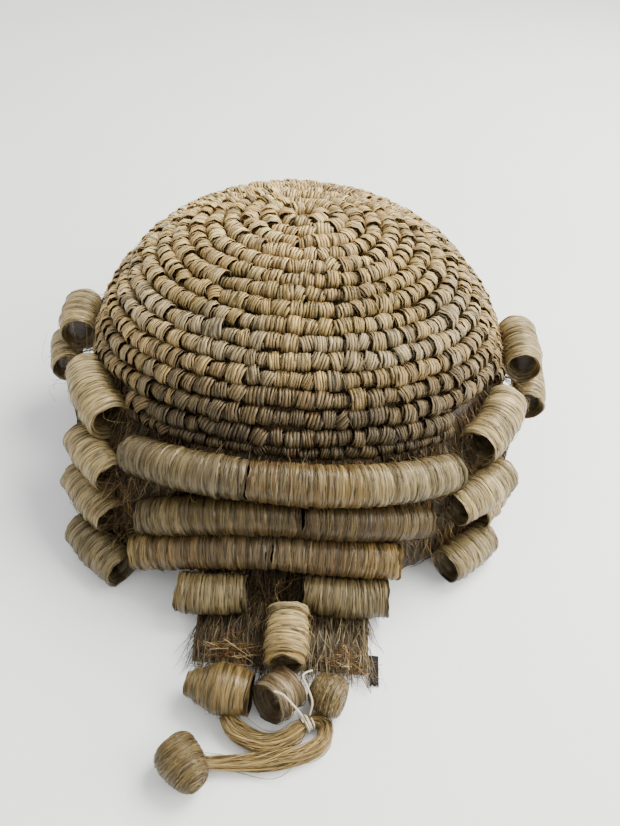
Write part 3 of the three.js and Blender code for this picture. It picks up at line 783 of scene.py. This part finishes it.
rollForm = {"radius": 7.6, "seat": 0.3}
sidePalette = ["pale", "straw", "gold", "cream"]
sideCurls = [
    {"name": "left_front_upper", "turn": (-83, -95), "up": (6.15, 6), "out": (1.75, 2.3), "fat": 1.06},
    {"name": "left_front_lower", "turn": (-80, -90), "up": (4.4, 4.3), "out": (2.52, 3.15), "fat": 0.9},
    {"name": "left_rear_first", "turn": (-47, -66), "up": (6.2, 6.3), "out": (1.19, 1.17), "fat": 1.16,
     "own": {"tone": 0.74}},
    {"name": "left_rear_second", "turn": (-40, -53), "up": (4.5, 4.56), "out": (2.33, 2.3), "fat": 0.98,
     "own": {"tone": 0.66}},
    {"name": "left_rear_third", "turn": (-37, -50), "up": (2.64, 2.76), "out": (3.3, 3.18), "fat": 0.97,
     "own": {"tone": 0.52}},
    {"name": "left_rear_fourth", "turn": (-30.5, -43), "up": (0.97, 0.97), "out": (4.64, 4.47),
     "fat": 0.97, "own": {"tone": 0.32, "belowShade": 0.3}},
    {"name": "right_front_upper", "turn": (80, 94), "up": (6.85, 6.85), "out": (1.78, 1.8), "fat": 1.06},
    {"name": "right_front_lower", "turn": (77, 91), "up": (5.02, 4.97), "out": (2.25, 2.45), "fat": 0.95},
    {"name": "right_rear_first", "turn": (50, 68), "up": (6.1, 6.15), "out": (1.2, 1.18), "fat": 1.12,
     "own": {"tone": 0.7}},
    {"name": "right_rear_second", "turn": (39.6, 54.5), "up": (4.15, 4.2), "out": (2.1, 2.4), "fat": 0.99},
    {"name": "right_rear_third", "turn": (48, 60), "up": (2.32, 2.3), "out": (2.4, 2.3), "fat": 0.93},
    {"name": "right_rear_fourth", "turn": (36.5, 47.5), "up": (0.98, 0.98), "out": (3.5, 3.5), "fat": 0.98,
     "own": {"tone": 0.44, "belowShade": 0.3}},
]
rollTriangles = 0
for curl in sideCurls:
    centres = [atHeight(mix(*curl["turn"], share), mix(*curl["up"], share) * rollForm["radius"],
                        mix(*curl["out"], share) * rollForm["radius"]) for share in (0, 0.5, 1)]
    rollTriangles += makeRoll("curl_" + curl["name"], centres, curl["fat"] * rollForm["radius"],
                              sidePalette, "pale_hair", settings={**curlSet, **curl.get("own", {})})

backRolls = [
    {"name": "back_roll_first", "left": (-37.5, -7.6), "right": (-6.8, 41), "leftEnd": (-39, 5.55, 1.3),
     "rightEnd": (42, 5.6, 1.2), "up": 6.8, "out": 1.2, "fat": 1.01, "slot": "pale_hair",
     "tone": (0.33, 0.42),
     "leftShades": [(0, "silver"), (0.5, "pale"), (1, "silver")],
     "rightShades": [(0, "brown"), (0.2, "brown"), (0.45, "straw"), (0.72, "cream"), (1, "cream")],
     "palette": ["pale", "straw", "brown", "cream", "gold"]},
    {"name": "back_roll_second", "left": (-29.3, 3.5), "right": (4.3, 33.2), "leftEnd": (-30, 3.6, 2.75),
     "rightEnd": (35, 3.3, 1.65), "up": 4.8, "out": 1.07, "fat": 0.97, "slot": "straw_hair",
     "tone": (0.31, 0.36),
     "leftShades": [(0, "pale"), (0.35, "olive"), (1, "brown")],
     "rightShades": [(0, "brown"), (0.6, "brown"), (1, "straw")],
     "palette": ["straw", "olive", "brown", "umber"]},
    {"name": "back_roll_third", "left": (-29, -2), "right": (-1.2, 24), "leftEnd": (-29, 1.85, 3.72),
     "rightEnd": (24.5, 2.42, 2.8), "up": 2.97, "out": 1.85, "fat": 0.96, "slot": "straw_hair",
     "tone": (0.66, 0.66),
     "leftShades": [(0, "olive"), (0.4, "brown"), (1, "grey")],
     "rightShades": [(0, "grey"), (0.5, "brown"), (1, "gold")],
     "palette": ["straw", "brown", "grey", "umber"]},
]
for roll in backRolls:
    for side in ("left", "right"):
        centres = []
        for share in (0, 0.25, 0.5, 0.75, 1):
            turn = mix(*roll[side], share)
            endTurn, endUp, endOut = roll["leftEnd" if turn < 0 else "rightEnd"]
            bend = (turn / endTurn) ** 2
            centres.append(atHeight(turn, mix(roll["up"], endUp, bend) * rollForm["radius"],
                                    mix(roll["out"], endOut, bend) * rollForm["radius"]))
        rollTriangles += makeRoll(roll["name"] + "_" + side, centres, roll["fat"] * rollForm["radius"],
                                  roll["palette"], roll["slot"], colourStops=roll[side + "Shades"],
                                  settings={"longer": (0, 0.7) if side == "left" else (0.7, 0),
                                            "tone": roll["tone"][side == "right"]})

flapForm = {"reach": 47, "end": -133, "thickness": 1.8, "halfWidth": 31, "shift": 3}
lowRolls = [
    {"name": "back_roll_fourth_left", "turn": (-18, -5.8), "out": (4.4, 3.55), "fat": 1, "tone": 0.42},
    {"name": "back_roll_fourth_right", "turn": (5, 20.5), "out": (3.18, 4.02), "fat": 1, "tone": 0.31},
]
for low in lowRolls:
    height = flapForm["thickness"] + rollForm["seat"] + low["fat"] * rollForm["radius"]
    centres = [atHeight(mix(*low["turn"], share), height, mix(*low["out"], share) * rollForm["radius"])
               for share in (0, 0.5, 1)]
    rollTriangles += makeRoll(low["name"], centres, low["fat"] * rollForm["radius"],
                              ["pale", "straw", "gold", "cream"], "straw_hair",
                              settings={"tone": low["tone"]})

napeForm = {"top": 2.1, "back": flapForm["end"], "front": flapForm["end"] + 0.37 * flapForm["reach"],
            "depth": 3.6, "curlRadius": 7.9, "curlShift": 2}
curlHigh = napeForm["top"] + napeForm["depth"] + rollForm["seat"] + napeForm["curlRadius"]
napeCurlLine = [(flapForm["shift"] + napeForm["curlShift"],
                 mix(napeForm["front"], napeForm["back"], share) - 0.94, curlHigh)
                for share in (0.1, 0.66, 1.22)]
rollTriangles += makeRoll("nape_curl", napeCurlLine, napeForm["curlRadius"],
                          ["cream", "pale", "gold", "straw"], "pale_hair",
                          settings={"endDrop": 0.9, "tone": 0.78, "gapDepth": 0.3, "endRound": 1.6,
                                    "endRange": 4, "bundleTone": (0.8, 0.28), "insideShade": 0.3})

# tails: lengths are in tail radii from the flap's end

tailForm = {"radius": 9.2, "place": (flapForm["shift"], flapForm["end"], 0)}


def tailPoint(point):
    return np.array(tailForm["place"]) + np.array(point) * tailForm["radius"]


tailRolls = [
    {"name": "tail_roll", "fat": 0.92, "ends": [(-3.3, -1.2, 0.85), (-0.9, -1.42, 0.92)],
     "palette": ["straw", "olive", "pale", "gold"], "slot": "pale_hair",
     "own": {"endDrop": 0.9, "tone": 0.38, "gapDepth": 0.05, "bundleTone": (0.88, 0.16), "bandStep": 0.08,
             "bandEdgeShade": 0.15, "endRound": 0.8, "endRange": 3, "ragged": 0.2, "wave": 1.3,
             "looseEvery": 0.4, "looseThick": (0.04, 0.08), "taper": (0.5, 0.9)}},
    {"name": "tail_ringlet", "fat": 0.82, "ends": [(-0.3, -1.82, 1.16), (0.45, -0.98, 0.82)],
     "palette": ["grey", "umber", "silver", "brown"], "slot": "grey_hair",
     "own": {"endDrop": 0.98, "tone": 0.78, "gapDepth": 0.25, "endRound": 0.3, "insideShade": 0.25,
             "end": spiralEnd}},
]
for tail in tailRolls:
    ends = [tailPoint(p) for p in tail["ends"]]
    ends.insert(1, (ends[0] + ends[1]) / 2)
    rollTriangles += makeRoll(tail["name"], ends, tail["fat"] * tailForm["radius"], tail["palette"],
                              tail["slot"], settings=tail["own"])
print("rolls:", rollTriangles, "triangles")

# the lock, the knobs and the string

lockRoute = [(-1.75, -2.05, 0.55), (-1.4, -2.45, 0.4), (-0.85, -2.7, 0.29), (-0.2, -2.8, 0.29),
             (0.45, -2.58, 0.29), (1, -2.2, 0.38), (1.42, -1.95, 0.38), (1.8, -2.05, 0.29),
             (1.78, -2.55, 0.29), (1.3, -2.95, 0.29), (0.5, -3.25, 0.29), (-0.5, -3.48, 0.29),
             (-1.95, -3.66, 0.38), (-2.35, -3.66, 0.5)]
lockSet = {"strands": 300, "steps": 38, "radius": 2.8, "tieShare": 0.38, "squeeze": 0.55, "twist": 1.6,
           "thick": (0.07, 0.18), "core": 1.7, "tone": 0.86}


def makeLock(s):
    batch = Batch()
    line, _ = smoothPath([tailPoint(p) for p in lockRoute], s["steps"])
    _, over, across = pathFrame(line)
    share = np.linspace(0, 1, s["steps"])[None]
    place = np.sqrt(chance.random((s["strands"], 1))) * s["radius"]
    angle = chance.uniform(0, turnFull, (s["strands"], 1)) + s["twist"] * share \
        + 0.5 * np.sin(share * 9 + chance.uniform(0, 6, (s["strands"], 1)))
    nearTie = np.exp(-((share - s["tieShare"]) / 0.035) ** 2)
    stray = (chance.random((s["strands"], 1)) < 0.06) * chance.uniform(0.3, 0.8, (s["strands"], 1))
    tied = 1 - (1 - s["squeeze"]) * nearTie
    loose = tied + (0.25 + stray) * (1 - nearTie) * np.sin(share * 7 + angle * 1.5)
    ends = 1 - 0.45 * np.clip((share - 0.7) / 0.3, 0, 1) - 0.25 * np.clip(1 - share / 0.06, 0, 1)
    wide = place * loose * ends
    out = turned(angle, over[None], across[None])
    centres = line[None] + out * wide[..., None]
    centres[..., 2] = np.maximum(centres[..., 2], 0.5)
    thick = chance.uniform(*s["thick"], (s["strands"], 1)) * (1 - 0.5 * np.abs(2 * share - 1) ** 8)
    tints = shades(["pale", "straw", "brown", "gold", "olive", "cream"],
                   [0.24, 0.24, 0.16, 0.14, 0.12, 0.1], s["strands"])
    addStrands(batch, centres, out, thick, thick * 0.8,
               s["tone"] * mix(tints, hairShades["straw"], 0.4), sides=3)
    girth = s["core"] * tied * ends
    addStrands(batch, line[None], over[None], girth, girth * 0.9, 0.6 * hairShades["straw"][None],
               sides=12)
    batch.make("strands_lock", ("tail_lock",), "straw_hair")


makeLock(lockSet)

knobRadius = 7
knobHigh = knobRadius / tailForm["radius"]
knobs = [
    {"name": "tail_knob_left", "route": [(-3.6, -3.2, knobHigh + 0.12), (-2.9, -3.85, knobHigh),
                                         (-2.2, -4.5, knobHigh)],
     "sizes": (0.74, 1.02, 1.04, 0.96, 0.8, 0.6), "palette": ["pale", "silver", "olive", "brown"]},
    {"name": "tail_knob_right", "route": [(1.2, -0.92, knobHigh), (1.8, -1.12, knobHigh),
                                          (2.5, -1.37, knobHigh + 0.1)],
     "sizes": (0.6, 0.88, 1, 1, 0.9), "palette": ["cream", "straw", "pale", "brown"]},
]
knobSet = {"radius": knobRadius, "core": 0.88, "rings": 26, "sides": 24, "bundles": 190, "turns": 1.4,
           "steps": 18, "thick": (0.12, 0.32), "tone": 0.42}


def makeKnob(knob, s):
    batch = Batch()
    shares = np.linspace(0, 1, s["rings"])
    line, length = smoothPath([tailPoint(p) for p in knob["route"]], shares)
    _, over, across = pathFrame(line)
    profile = np.interp(shares, np.linspace(0, 1, len(knob["sizes"])), knob["sizes"]) * s["radius"]
    profile = profile * np.sqrt(np.clip(1 - (2 * shares - 1) ** 10, 0.02, 1))
    angle = turnFull * np.arange(s["sides"]) / s["sides"]
    ripple = 1 + 0.03 * np.sin(6 * angle[None] + 9 * shares[:, None])
    size = (profile * s["core"])[:, None] * ripple
    points = line[:, None] + turned(angle[None], over[:, None], across[:, None]) * size[..., None]
    addShell(batch, points, hairShades["umber"], (1.8, length / s["rings"]))
    count = s["bundles"]
    share = np.linspace(0, 1, s["steps"])[None]
    start = chance.uniform(0.0, 0.85, (count, 1))
    at = start + share * chance.uniform(0.12, 0.42, (count, 1)) + 0.015 * np.sin(share * 11)
    at = np.clip(at, 0.005, 0.995)
    center, up, side = (tableAt(at, shares, rows) for rows in (line, over, across))
    spin = chance.uniform(0, turnFull, (count, 1))
    spin = spin + share * turnFull * chance.uniform(0.8, s["turns"], (count, 1))
    out = unit(turned(spin, up, side))
    off = np.interp(at, shares, profile) * chance.uniform(0.9, 0.98, (count, 1))
    thick = chance.uniform(*s["thick"], (count, 1)) * (1 - 0.6 * np.abs(2 * share - 1) ** 6)
    tints = mix(shades(knob["palette"], None, count), hairShades["straw"], 0.35)
    addStrands(batch, center + out * off[..., None], out, thick, thick * 0.8,
               s["tone"] * tints * chance.uniform(0.6, 1.3, (count, 1)), sides=3)
    batch.make("wound_" + knob["name"], (knob["name"],), "straw_hair")


for knob in knobs:
    makeKnob(knob, knobSet)

stringSet = {"radius": 0.34, "turns": 6, "windRadius": 2.5, "width": 2.6, "colour": (222, 208, 180),
             "stepsPerTurn": 12, "routeSteps": 200, "endSteps": 40}
stringEnds = {
    "tie_end_upper": [(1.25, -1.98, 0.88), (1.3, -1.7, 1.3), (1.1, -1.35, 1.62), (0.9, -0.9, 1.45),
                      (1, -0.62, 1.2), (1.25, -0.42, 1)],
    "tie_end_lower": [(1.02, -2.1, 0.88), (0.92, -2.15, 1.35), (0.6, -2.0, 1.75), (0.25, -1.8, 1.98),
                      (-0.08, -1.72, 2.02)],
}


def stringMaterial():
    sh = Shader("twisted_string")
    strandMap = sh.node("ShaderNodeUVMap", {"uv_map": "strandMap"})
    slanted = sh.node("ShaderNodeMapping", None, {"Vector": strandMap, "Rotation": (0, 0, 0.7)})
    ply = sh.node("ShaderNodeTexWave", {"wave_type": "BANDS"},
                  {"Vector": slanted, "Scale": 0.55, "Distortion": 0.6, "Detail": 1.0}, out=1)
    tint = sh.node("ShaderNodeAttribute", {"attribute_name": "hairTint"})
    shade = 0.7 + 0.3 * ply
    colour = sh.shaded(tint, shade)
    bump = sh.node("ShaderNodeBump", None, {"Height": ply, "Distance": 0.0002, "Strength": 0.9})
    return sh.finish(Base_Color=colour, Roughness=0.8 - 0.1 * ply, Normal=bump)


def makeString(s):
    material = stringMaterial()
    white = np.array([linear(s["colour"])])
    line, _ = smoothPath([tailPoint(p) for p in lockRoute], s["routeSteps"])
    along, over, across = pathFrame(line)
    k = int(lockSet["tieShare"] * (s["routeSteps"] - 1))
    share = np.linspace(0, 1, s["turns"] * s["stepsPerTurn"] + 1)
    angle = turnFull * s["turns"] * share
    out = turned(angle, over[k], across[k])
    wound = line[k] + out * (s["windRadius"] + 0.25 * np.sin(share * 14)[:, None]) \
        + along[k] * ((share - 0.5) * s["width"] + 0.3 * np.sin(angle * 0.37))[:, None]
    batch = Batch()
    addStrands(batch, wound[None], out[None], s["radius"] * 0.9, s["radius"] * 0.9, white, sides=6)
    batch.make("string_winding", ("tie_winding",), "string", material)
    for name, route in stringEnds.items():
        batch = Batch()
        line, _ = smoothPath([tailPoint(p) for p in route], s["endSteps"])
        addStrands(batch, line[None], pathFrame(line)[1][None], s["radius"], s["radius"], white, sides=7)
        batch.make("string_" + name, (name,), "string", material)


makeString(stringSet)
print("tails made")

# the hair that each curl grows from: it leaves the net and turns down into the curl

rootSet = {"perMillimetre": 1.5, "steps": 7, "thick": (0.12, 0.3)}


def makeRoots(s):
    batch = Batch()
    for curl in sideCurls:
        addRoots(batch, s, curl["turn"], curl["up"], curl["out"], curl["fat"])
    for roll in backRolls:
        for side in ("left", "right"):
            inner, outer = sorted(roll[side], key=abs)
            _, endUp, endOut = roll[side + "End"]
            addRoots(batch, s, (inner, outer), (roll["up"], endUp), (roll["out"], endOut), roll["fat"])
    for low in lowRolls:
        addRoots(batch, s, low["turn"], (1.2, 1.2), low["out"], low["fat"])
    batch.make("roots_of_curls", (), "dark_hair")
    print("roots:", batch.triangles(), "triangles")


def addRoots(batch, s, turn, up, out, fat):
    radius = rollForm["radius"]
    span = abs(turn[1] - turn[0]) * 1.7
    count = int(span * s["perMillimetre"])
    share = np.linspace(0, 1, s["steps"])
    for _ in range(count):
        place = chance.uniform(-0.04, 1.04)
        at = mix(*turn, place)
        high, off = mix(*up, place) * radius, mix(*out, place) * radius
        inner = atHeight(at + chance.uniform(-2, 2), max(1, high + chance.uniform(-3, 9)), 1.0)
        target = atHeight(at, max(0.6, high + chance.uniform(-0.9, 0.75) * fat * radius),
                          off - chance.uniform(0.15, 0.9) * fat * radius)
        hump = upward * chance.uniform(-1.5, 3.0)
        line = inner + (target - inner) * share[:, None] + hump * np.sin(math.pi * share)[:, None]
        line = line + 0.4 * chance.normal(size=3) * np.sin(2 * math.pi * share)[:, None]
        line[:, 2] = np.maximum(line[:, 2], 0.5)
        thick = chance.uniform(*s["thick"])
        addStrands(batch, line[None], np.broadcast_to(upward, line.shape)[None], thick, thick * 0.6,
                   shades(["umber", "brown", "dark"], [0.45, 0.25, 0.3], 1), sides=3)


makeRoots(rootSet)

# a thick skirt of brown hair hangs from the net behind the curls and fills the space there; its near-black
# skin is painted shade

skirtSet = {"left": (-84, -24), "right": (24, 84), "step": 1.0, "inner": 0.3, "ridge": 0.7,
            "strands": 640, "steps": 10, "thick": (0.1, 0.26), "top": 56.5, "topSpread": 38,
            "fall": (14, 30), "table": (0.6, 57, 60), "turns": (24, 45, 68, 84),
            "levels": [
                {"height": 56, "left": (0.4, 0.4, 0.4, 0.4), "right": (0.4, 0.4, 0.4, 0.4)},
                {"height": 47, "left": (1.2, 1.2, 1.2, 0.5), "right": (1.2, 1.2, 1.2, 0.5)},
                {"height": 42, "left": (4, 6, 5, 0.5), "right": (4, 5, 5, 0.5)},
                {"height": 34, "left": (11, 14, 14, 0.5), "right": (9, 11, 13, 0.5)},
                {"height": 22, "left": (19, 20, 15, 0.5), "right": (12, 15, 14, 0.5)},
                {"height": 9, "left": (26, 27, 15, 0.5), "right": (19, 20, 14, 0.5)},
                {"height": 0.6, "left": (25, 26, 14, 0.5), "right": (18, 18, 13, 0.5)},
            ]}


def addSkirtHair(batch, s, side, heights, offs, turns):
    # loose hair that hangs down the skirt, each strand with its own drift and bend
    count, steps = s["strands"], s["steps"]
    share = np.linspace(0, 1, steps)[None]
    start = chance.uniform(*sorted(s[side]), (count, 1))
    drift = chance.normal(size=(count, 1)) * 4 * share + 1.2 * np.sin(share * 6 + start)
    turn = np.clip(start + drift, *sorted(s[side]))
    top = s["top"] - s["topSpread"] * chance.random((count, 1)) ** 1.3
    falls = mix(top, np.maximum(0.8, top - chance.uniform(*s["fall"], (count, 1))), share)
    low, high, rows = s["table"]
    fine = np.linspace(low, high, rows)
    table = np.stack([np.interp(fine, heights[::-1], offs[::-1, k]) for k in range(len(turns))])
    column = np.clip(np.round(turn - turns[0]).astype(int), 0, len(turns) - 1)
    level = np.clip(np.round((falls - low) / (high - low) * (rows - 1)).astype(int), 0, rows - 1)
    off = table[column, level] + chance.uniform(0.5, 1.6, (count, 1)) + 0.4 * np.sin(share * 8 + start * 3)
    points = np.array([[atHeight(t, h, o) for t, h, o in zip(*row)] for row in zip(turn, falls, off)])
    out = unit(points - headMiddle)
    thick = chance.uniform(*s["thick"], (count, 1)) * (1 - 0.6 * np.abs(2 * share - 1) ** 4)
    tints = shades(["umber", "brown", "dark", "grey"], [0.38, 0.32, 0.15, 0.15], count)
    tints = tints * chance.uniform(0.6, 1.2, (count, 1))
    addStrands(batch, points, out, thick, thick * 0.7, tints, sides=3)


def makeSkirt(s):
    for side in ("left", "right"):
        batch = Batch()
        turns = np.arange(*s[side], s["step"])
        waver = smoothNoise(turns, 6, 1.1)
        fine = np.linspace(0, 1, 16)
        heights = [level["height"] for level in s["levels"]]
        offs = np.array([np.interp(np.abs(turns), s["turns"], level[side]) for level in s["levels"]])
        levelShares = np.linspace(0, 1, len(heights))
        tall = np.interp(fine, levelShares, heights)
        rings = []
        for k, turn in enumerate(turns):
            off = np.interp(fine, levelShares, offs[:, k])
            wave = waver[k] + 0.5 * np.sin(turn * 2.3 + fine * 3)
            off = off + s["ridge"] * np.clip(off / 4, 0, 1) * wave
            rings.append([atHeight(turn, h, o) for h, o in zip(tall, off)]
                         + [atHeight(turn, h, s["inner"]) for h in tall[::-1]])
        # the skin is coloured near black, painted shade in the space behind the curls
        addShell(batch, np.array(rings), 0.6 * hairShades["dark"], (3.0, 1.4))
        addSkirtHair(batch, s, side, heights, offs, turns)
        batch.make("hair_skirt_" + side, (), "dark_hair")
        print("skirt", side + ":", batch.triangles(), "triangles")


makeSkirt(skirtSet)

# loose hair that stands off the wig in thin curved strands, and small tangles between curls

nests = [
    {"turn": -38, "height": 35, "off": 15, "spread": 7, "hairs": 60},
    {"turn": -34, "height": 20, "off": 24, "spread": 6, "hairs": 40},
    {"turn": 44, "height": 40, "off": 9, "spread": 7, "hairs": 50},
    {"turn": 37, "height": 22, "off": 13, "spread": 7, "hairs": 40},
    {"turn": -76, "height": 40, "off": 13, "spread": 7, "hairs": 45},
    {"turn": 74, "height": 44, "off": 10, "spread": 6, "hairs": 30},
    {"turn": 0, "height": 8, "off": 27, "spread": 8, "hairs": 60},
]
clumps = [
    {"place": (-13, -130, 5), "spread": (7, 3, 1.4), "hairs": 80},
    {"place": (24, -130, 5), "spread": (6, 3, 1.4), "hairs": 60},
]
flySet = {"steps": 10, "thick": (0.05, 0.09), "strays": 70, "nestThick": 0.07, "clumpThick": 0.09,
          "nestNames": ["umber", "brown", "straw", "dark"], "nestWeights": [0.35, 0.3, 0.1, 0.25],
          "clumpNames": ["rust", "umber", "gold", "cream"], "clumpWeights": [0.3, 0.4, 0.15, 0.15]}


def bentHairs(share, middle, spread, reach, count):
    start = middle + chance.normal(size=(count, 1, 3)) * spread * reach[0]
    heading = chance.normal(size=(count, 1, 3)) * spread * reach[1]
    curl = chance.normal(size=(count, 1, 3)) * spread * 0.5
    bend = np.sin(share * math.pi * chance.uniform(0.7, 2.2, (count, 1, 1)))
    line = start + heading * share + curl * bend
    line[..., 2] = np.maximum(line[..., 2], 0.4)
    return line, np.broadcast_to(upward, line.shape)


def makeFly(s):
    batch = Batch()
    share = np.linspace(0, 1, s["steps"])[None, :, None]
    for nest in nests:
        middle = atHeight(nest["turn"], nest["height"], nest["off"])
        hairs = bentHairs(share, middle, nest["spread"], (0.45, 1), nest["hairs"])
        addStrands(batch, *hairs, s["nestThick"], s["nestThick"],
                   shades(s["nestNames"], s["nestWeights"], nest["hairs"]), sides=3)
    for clump in clumps:
        middle, spread = np.array(clump["place"]), np.array(clump["spread"])
        hairs = bentHairs(share, middle, spread, (0.6, 0.7), clump["hairs"])
        addStrands(batch, *hairs, s["clumpThick"], s["clumpThick"],
                   shades(s["clumpNames"], s["clumpWeights"], clump["hairs"]), sides=3)
    count = s["strays"]
    turns = chance.uniform(-110, 110, count)
    heights = chance.uniform(6, 60, count)
    base = np.array([atHeight(t, h, 7) for t, h in zip(turns, heights)])
    away = unit(base * np.array([1, 1, 0]))[:, None]
    side = np.cross(away, upward)
    bow = chance.uniform(3, 9, (count, 1, 1))
    slide = chance.uniform(-14, 14, (count, 1, 1))
    line = base[:, None] + away * bow * np.sin(math.pi * share) + side * slide * share \
        + upward * chance.uniform(-8, 5, (count, 1, 1)) * share
    line[..., 2] = np.maximum(line[..., 2], 0.4)
    thick = chance.uniform(*s["thick"], (count, 1))
    addStrands(batch, line, np.broadcast_to(away, line.shape), thick, thick,
               shades(["brown", "straw", "pale", "umber"], [0.3, 0.3, 0.2, 0.2], count), sides=3)
    batch.make("stray_hair", (), "straw_hair")
    print("loose hair:", batch.triangles(), "triangles")


makeFly(flySet)

# short hair on the nape flap

napeSet = {"columns": 41, "rows": 15, "strands": 1300, "steps": 8, "length": (7, 22),
           "thick": (0.08, 0.22), "tone": 0.62,
           "colours": ["umber", "grey", "brown", "dark", "silver", "pale"],
           "weights": [0.22, 0.32, 0.12, 0.12, 0.16, 0.06]}


def makeNape(s):
    batch = Batch()
    low = napeForm["top"]
    u, v = np.meshgrid(np.linspace(-1, 1, s["columns"]), np.linspace(0, 1, s["rows"]), indexing="ij")
    edge = 1.2 * np.sin(u * 9) + 0.8 * np.sin(u * 23 + 1)
    x = flapForm["shift"] + 0.96 * u * flapForm["halfWidth"]
    y = mix(napeForm["front"], napeForm["back"] + 1.4 + edge, v)
    arch = np.sin(math.pi * np.clip(v * 0.8 + 0.16, 0, 1)) ** 0.5
    bulge = napeForm["depth"] * (1 - 0.45 * u ** 4) * arch
    z = low + 0.8 * bulge * (1 + 0.15 * np.sin(u * 31 + v * 5) + 0.1 * np.sin(u * 57))
    top = np.stack([x, y, z], -1)
    bottom = np.stack([x, y, np.full_like(z, low)], -1)
    rings = np.concatenate([top, bottom[:, ::-1]], axis=1)
    addShell(batch, rings, hairShades["dark"], (1.3, 1.5))
    count = s["strands"]
    side = chance.uniform(-1, 1, (count, 1))
    start = chance.uniform(-1.2, 0.75, (count, 1))
    share = np.linspace(0, 1, s["steps"])[None]
    reach = chance.uniform(*s["length"], (count, 1))
    bend = chance.normal(size=(count, 1)) * 3.4
    sx = flapForm["shift"] + side * flapForm["halfWidth"] + bend * share ** 1.5 \
        + 0.5 * np.sin(share * 6 + bend * 5) + side * 1.2 * share
    sy = mix(napeForm["front"], napeForm["back"], start) - reach * share
    sy = np.maximum(sy, napeForm["back"] - 4.5 + 2.5 * np.sin(side * 23 + bend))
    over = np.clip((napeForm["back"] + 2 - sy) / 6, 0, 1)
    lift = low + 0.5 + chance.uniform(0.0, 1.0, (count, 1)) * napeForm["depth"] * 0.95
    slope = np.clip((sy + 104) / 12, 0, 1) * 6
    sz = mix(lift, lift * 0.5, over) + 0.6 * np.sin(share * 4 + bend) + slope
    centres = np.stack([sx, sy, np.maximum(sz, 0.4)], -1)
    thick = chance.uniform(*s["thick"], (count, 1)) * (1 - 0.75 * share ** 3)
    tints = s["tone"] * (1 + 0.35 * side) * shades(s["colours"], s["weights"], count)
    addStrands(batch, centres, np.broadcast_to(upward, centres.shape), thick, thick * 0.7, tints, sides=3)
    batch.make("strands_nape", ("nape_hair",), "grey_hair")
    print("nape:", batch.triangles(), "triangles")


makeNape(napeSet)

# the tape end is cut cloth: a thin box with worn edges

tapeSet = {"cuts": 5, "bevel": 0.00022, "levels": 1}


def makeTape(s):
    low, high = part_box("tape_end")
    middle, size = (low + high) / 2, high - low
    bpy.ops.object.select_all(action="DESELECT")
    bpy.ops.mesh.primitive_cube_add(size=1, location=middle)
    tape = bpy.context.active_object
    tape.name = "cut_tape"
    tape.scale = size * 0.96
    bpy.ops.object.transform_apply(location=True, rotation=True, scale=True)
    bpy.ops.object.mode_set(mode="EDIT")
    bpy.ops.mesh.subdivide(number_cuts=s["cuts"])
    bpy.ops.object.mode_set(mode="OBJECT")
    for vertex in tape.data.vertices:
        vertex.co.z += 0.0002 * math.sin(vertex.co.y * 900) * (vertex.co.z > middle.z)
        if vertex.co.y < middle.y - 0.35 * size.y:
            vertex.co.y += 0.0006 * math.sin(vertex.co.x * 4200)
    bevel = tape.modifiers.new("edge", "BEVEL")
    bevel.width, bevel.segments, bevel.limit_method = s["bevel"], 2, "ANGLE"
    bpy.ops.object.modifier_apply(modifier="edge")
    bpy.ops.object.shade_smooth_by_angle(angle=math.radians(40))
    tape.data.materials.append(tapeMaterial)
    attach(tape, "root")
    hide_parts("tape_end")


makeTape(tapeSet)

for name in ("foundation_cap", "nape_flap"):
    data = nodes[name].data
    data.materials.clear()
    data.materials.append(netMaterial)
print("tape and net made")
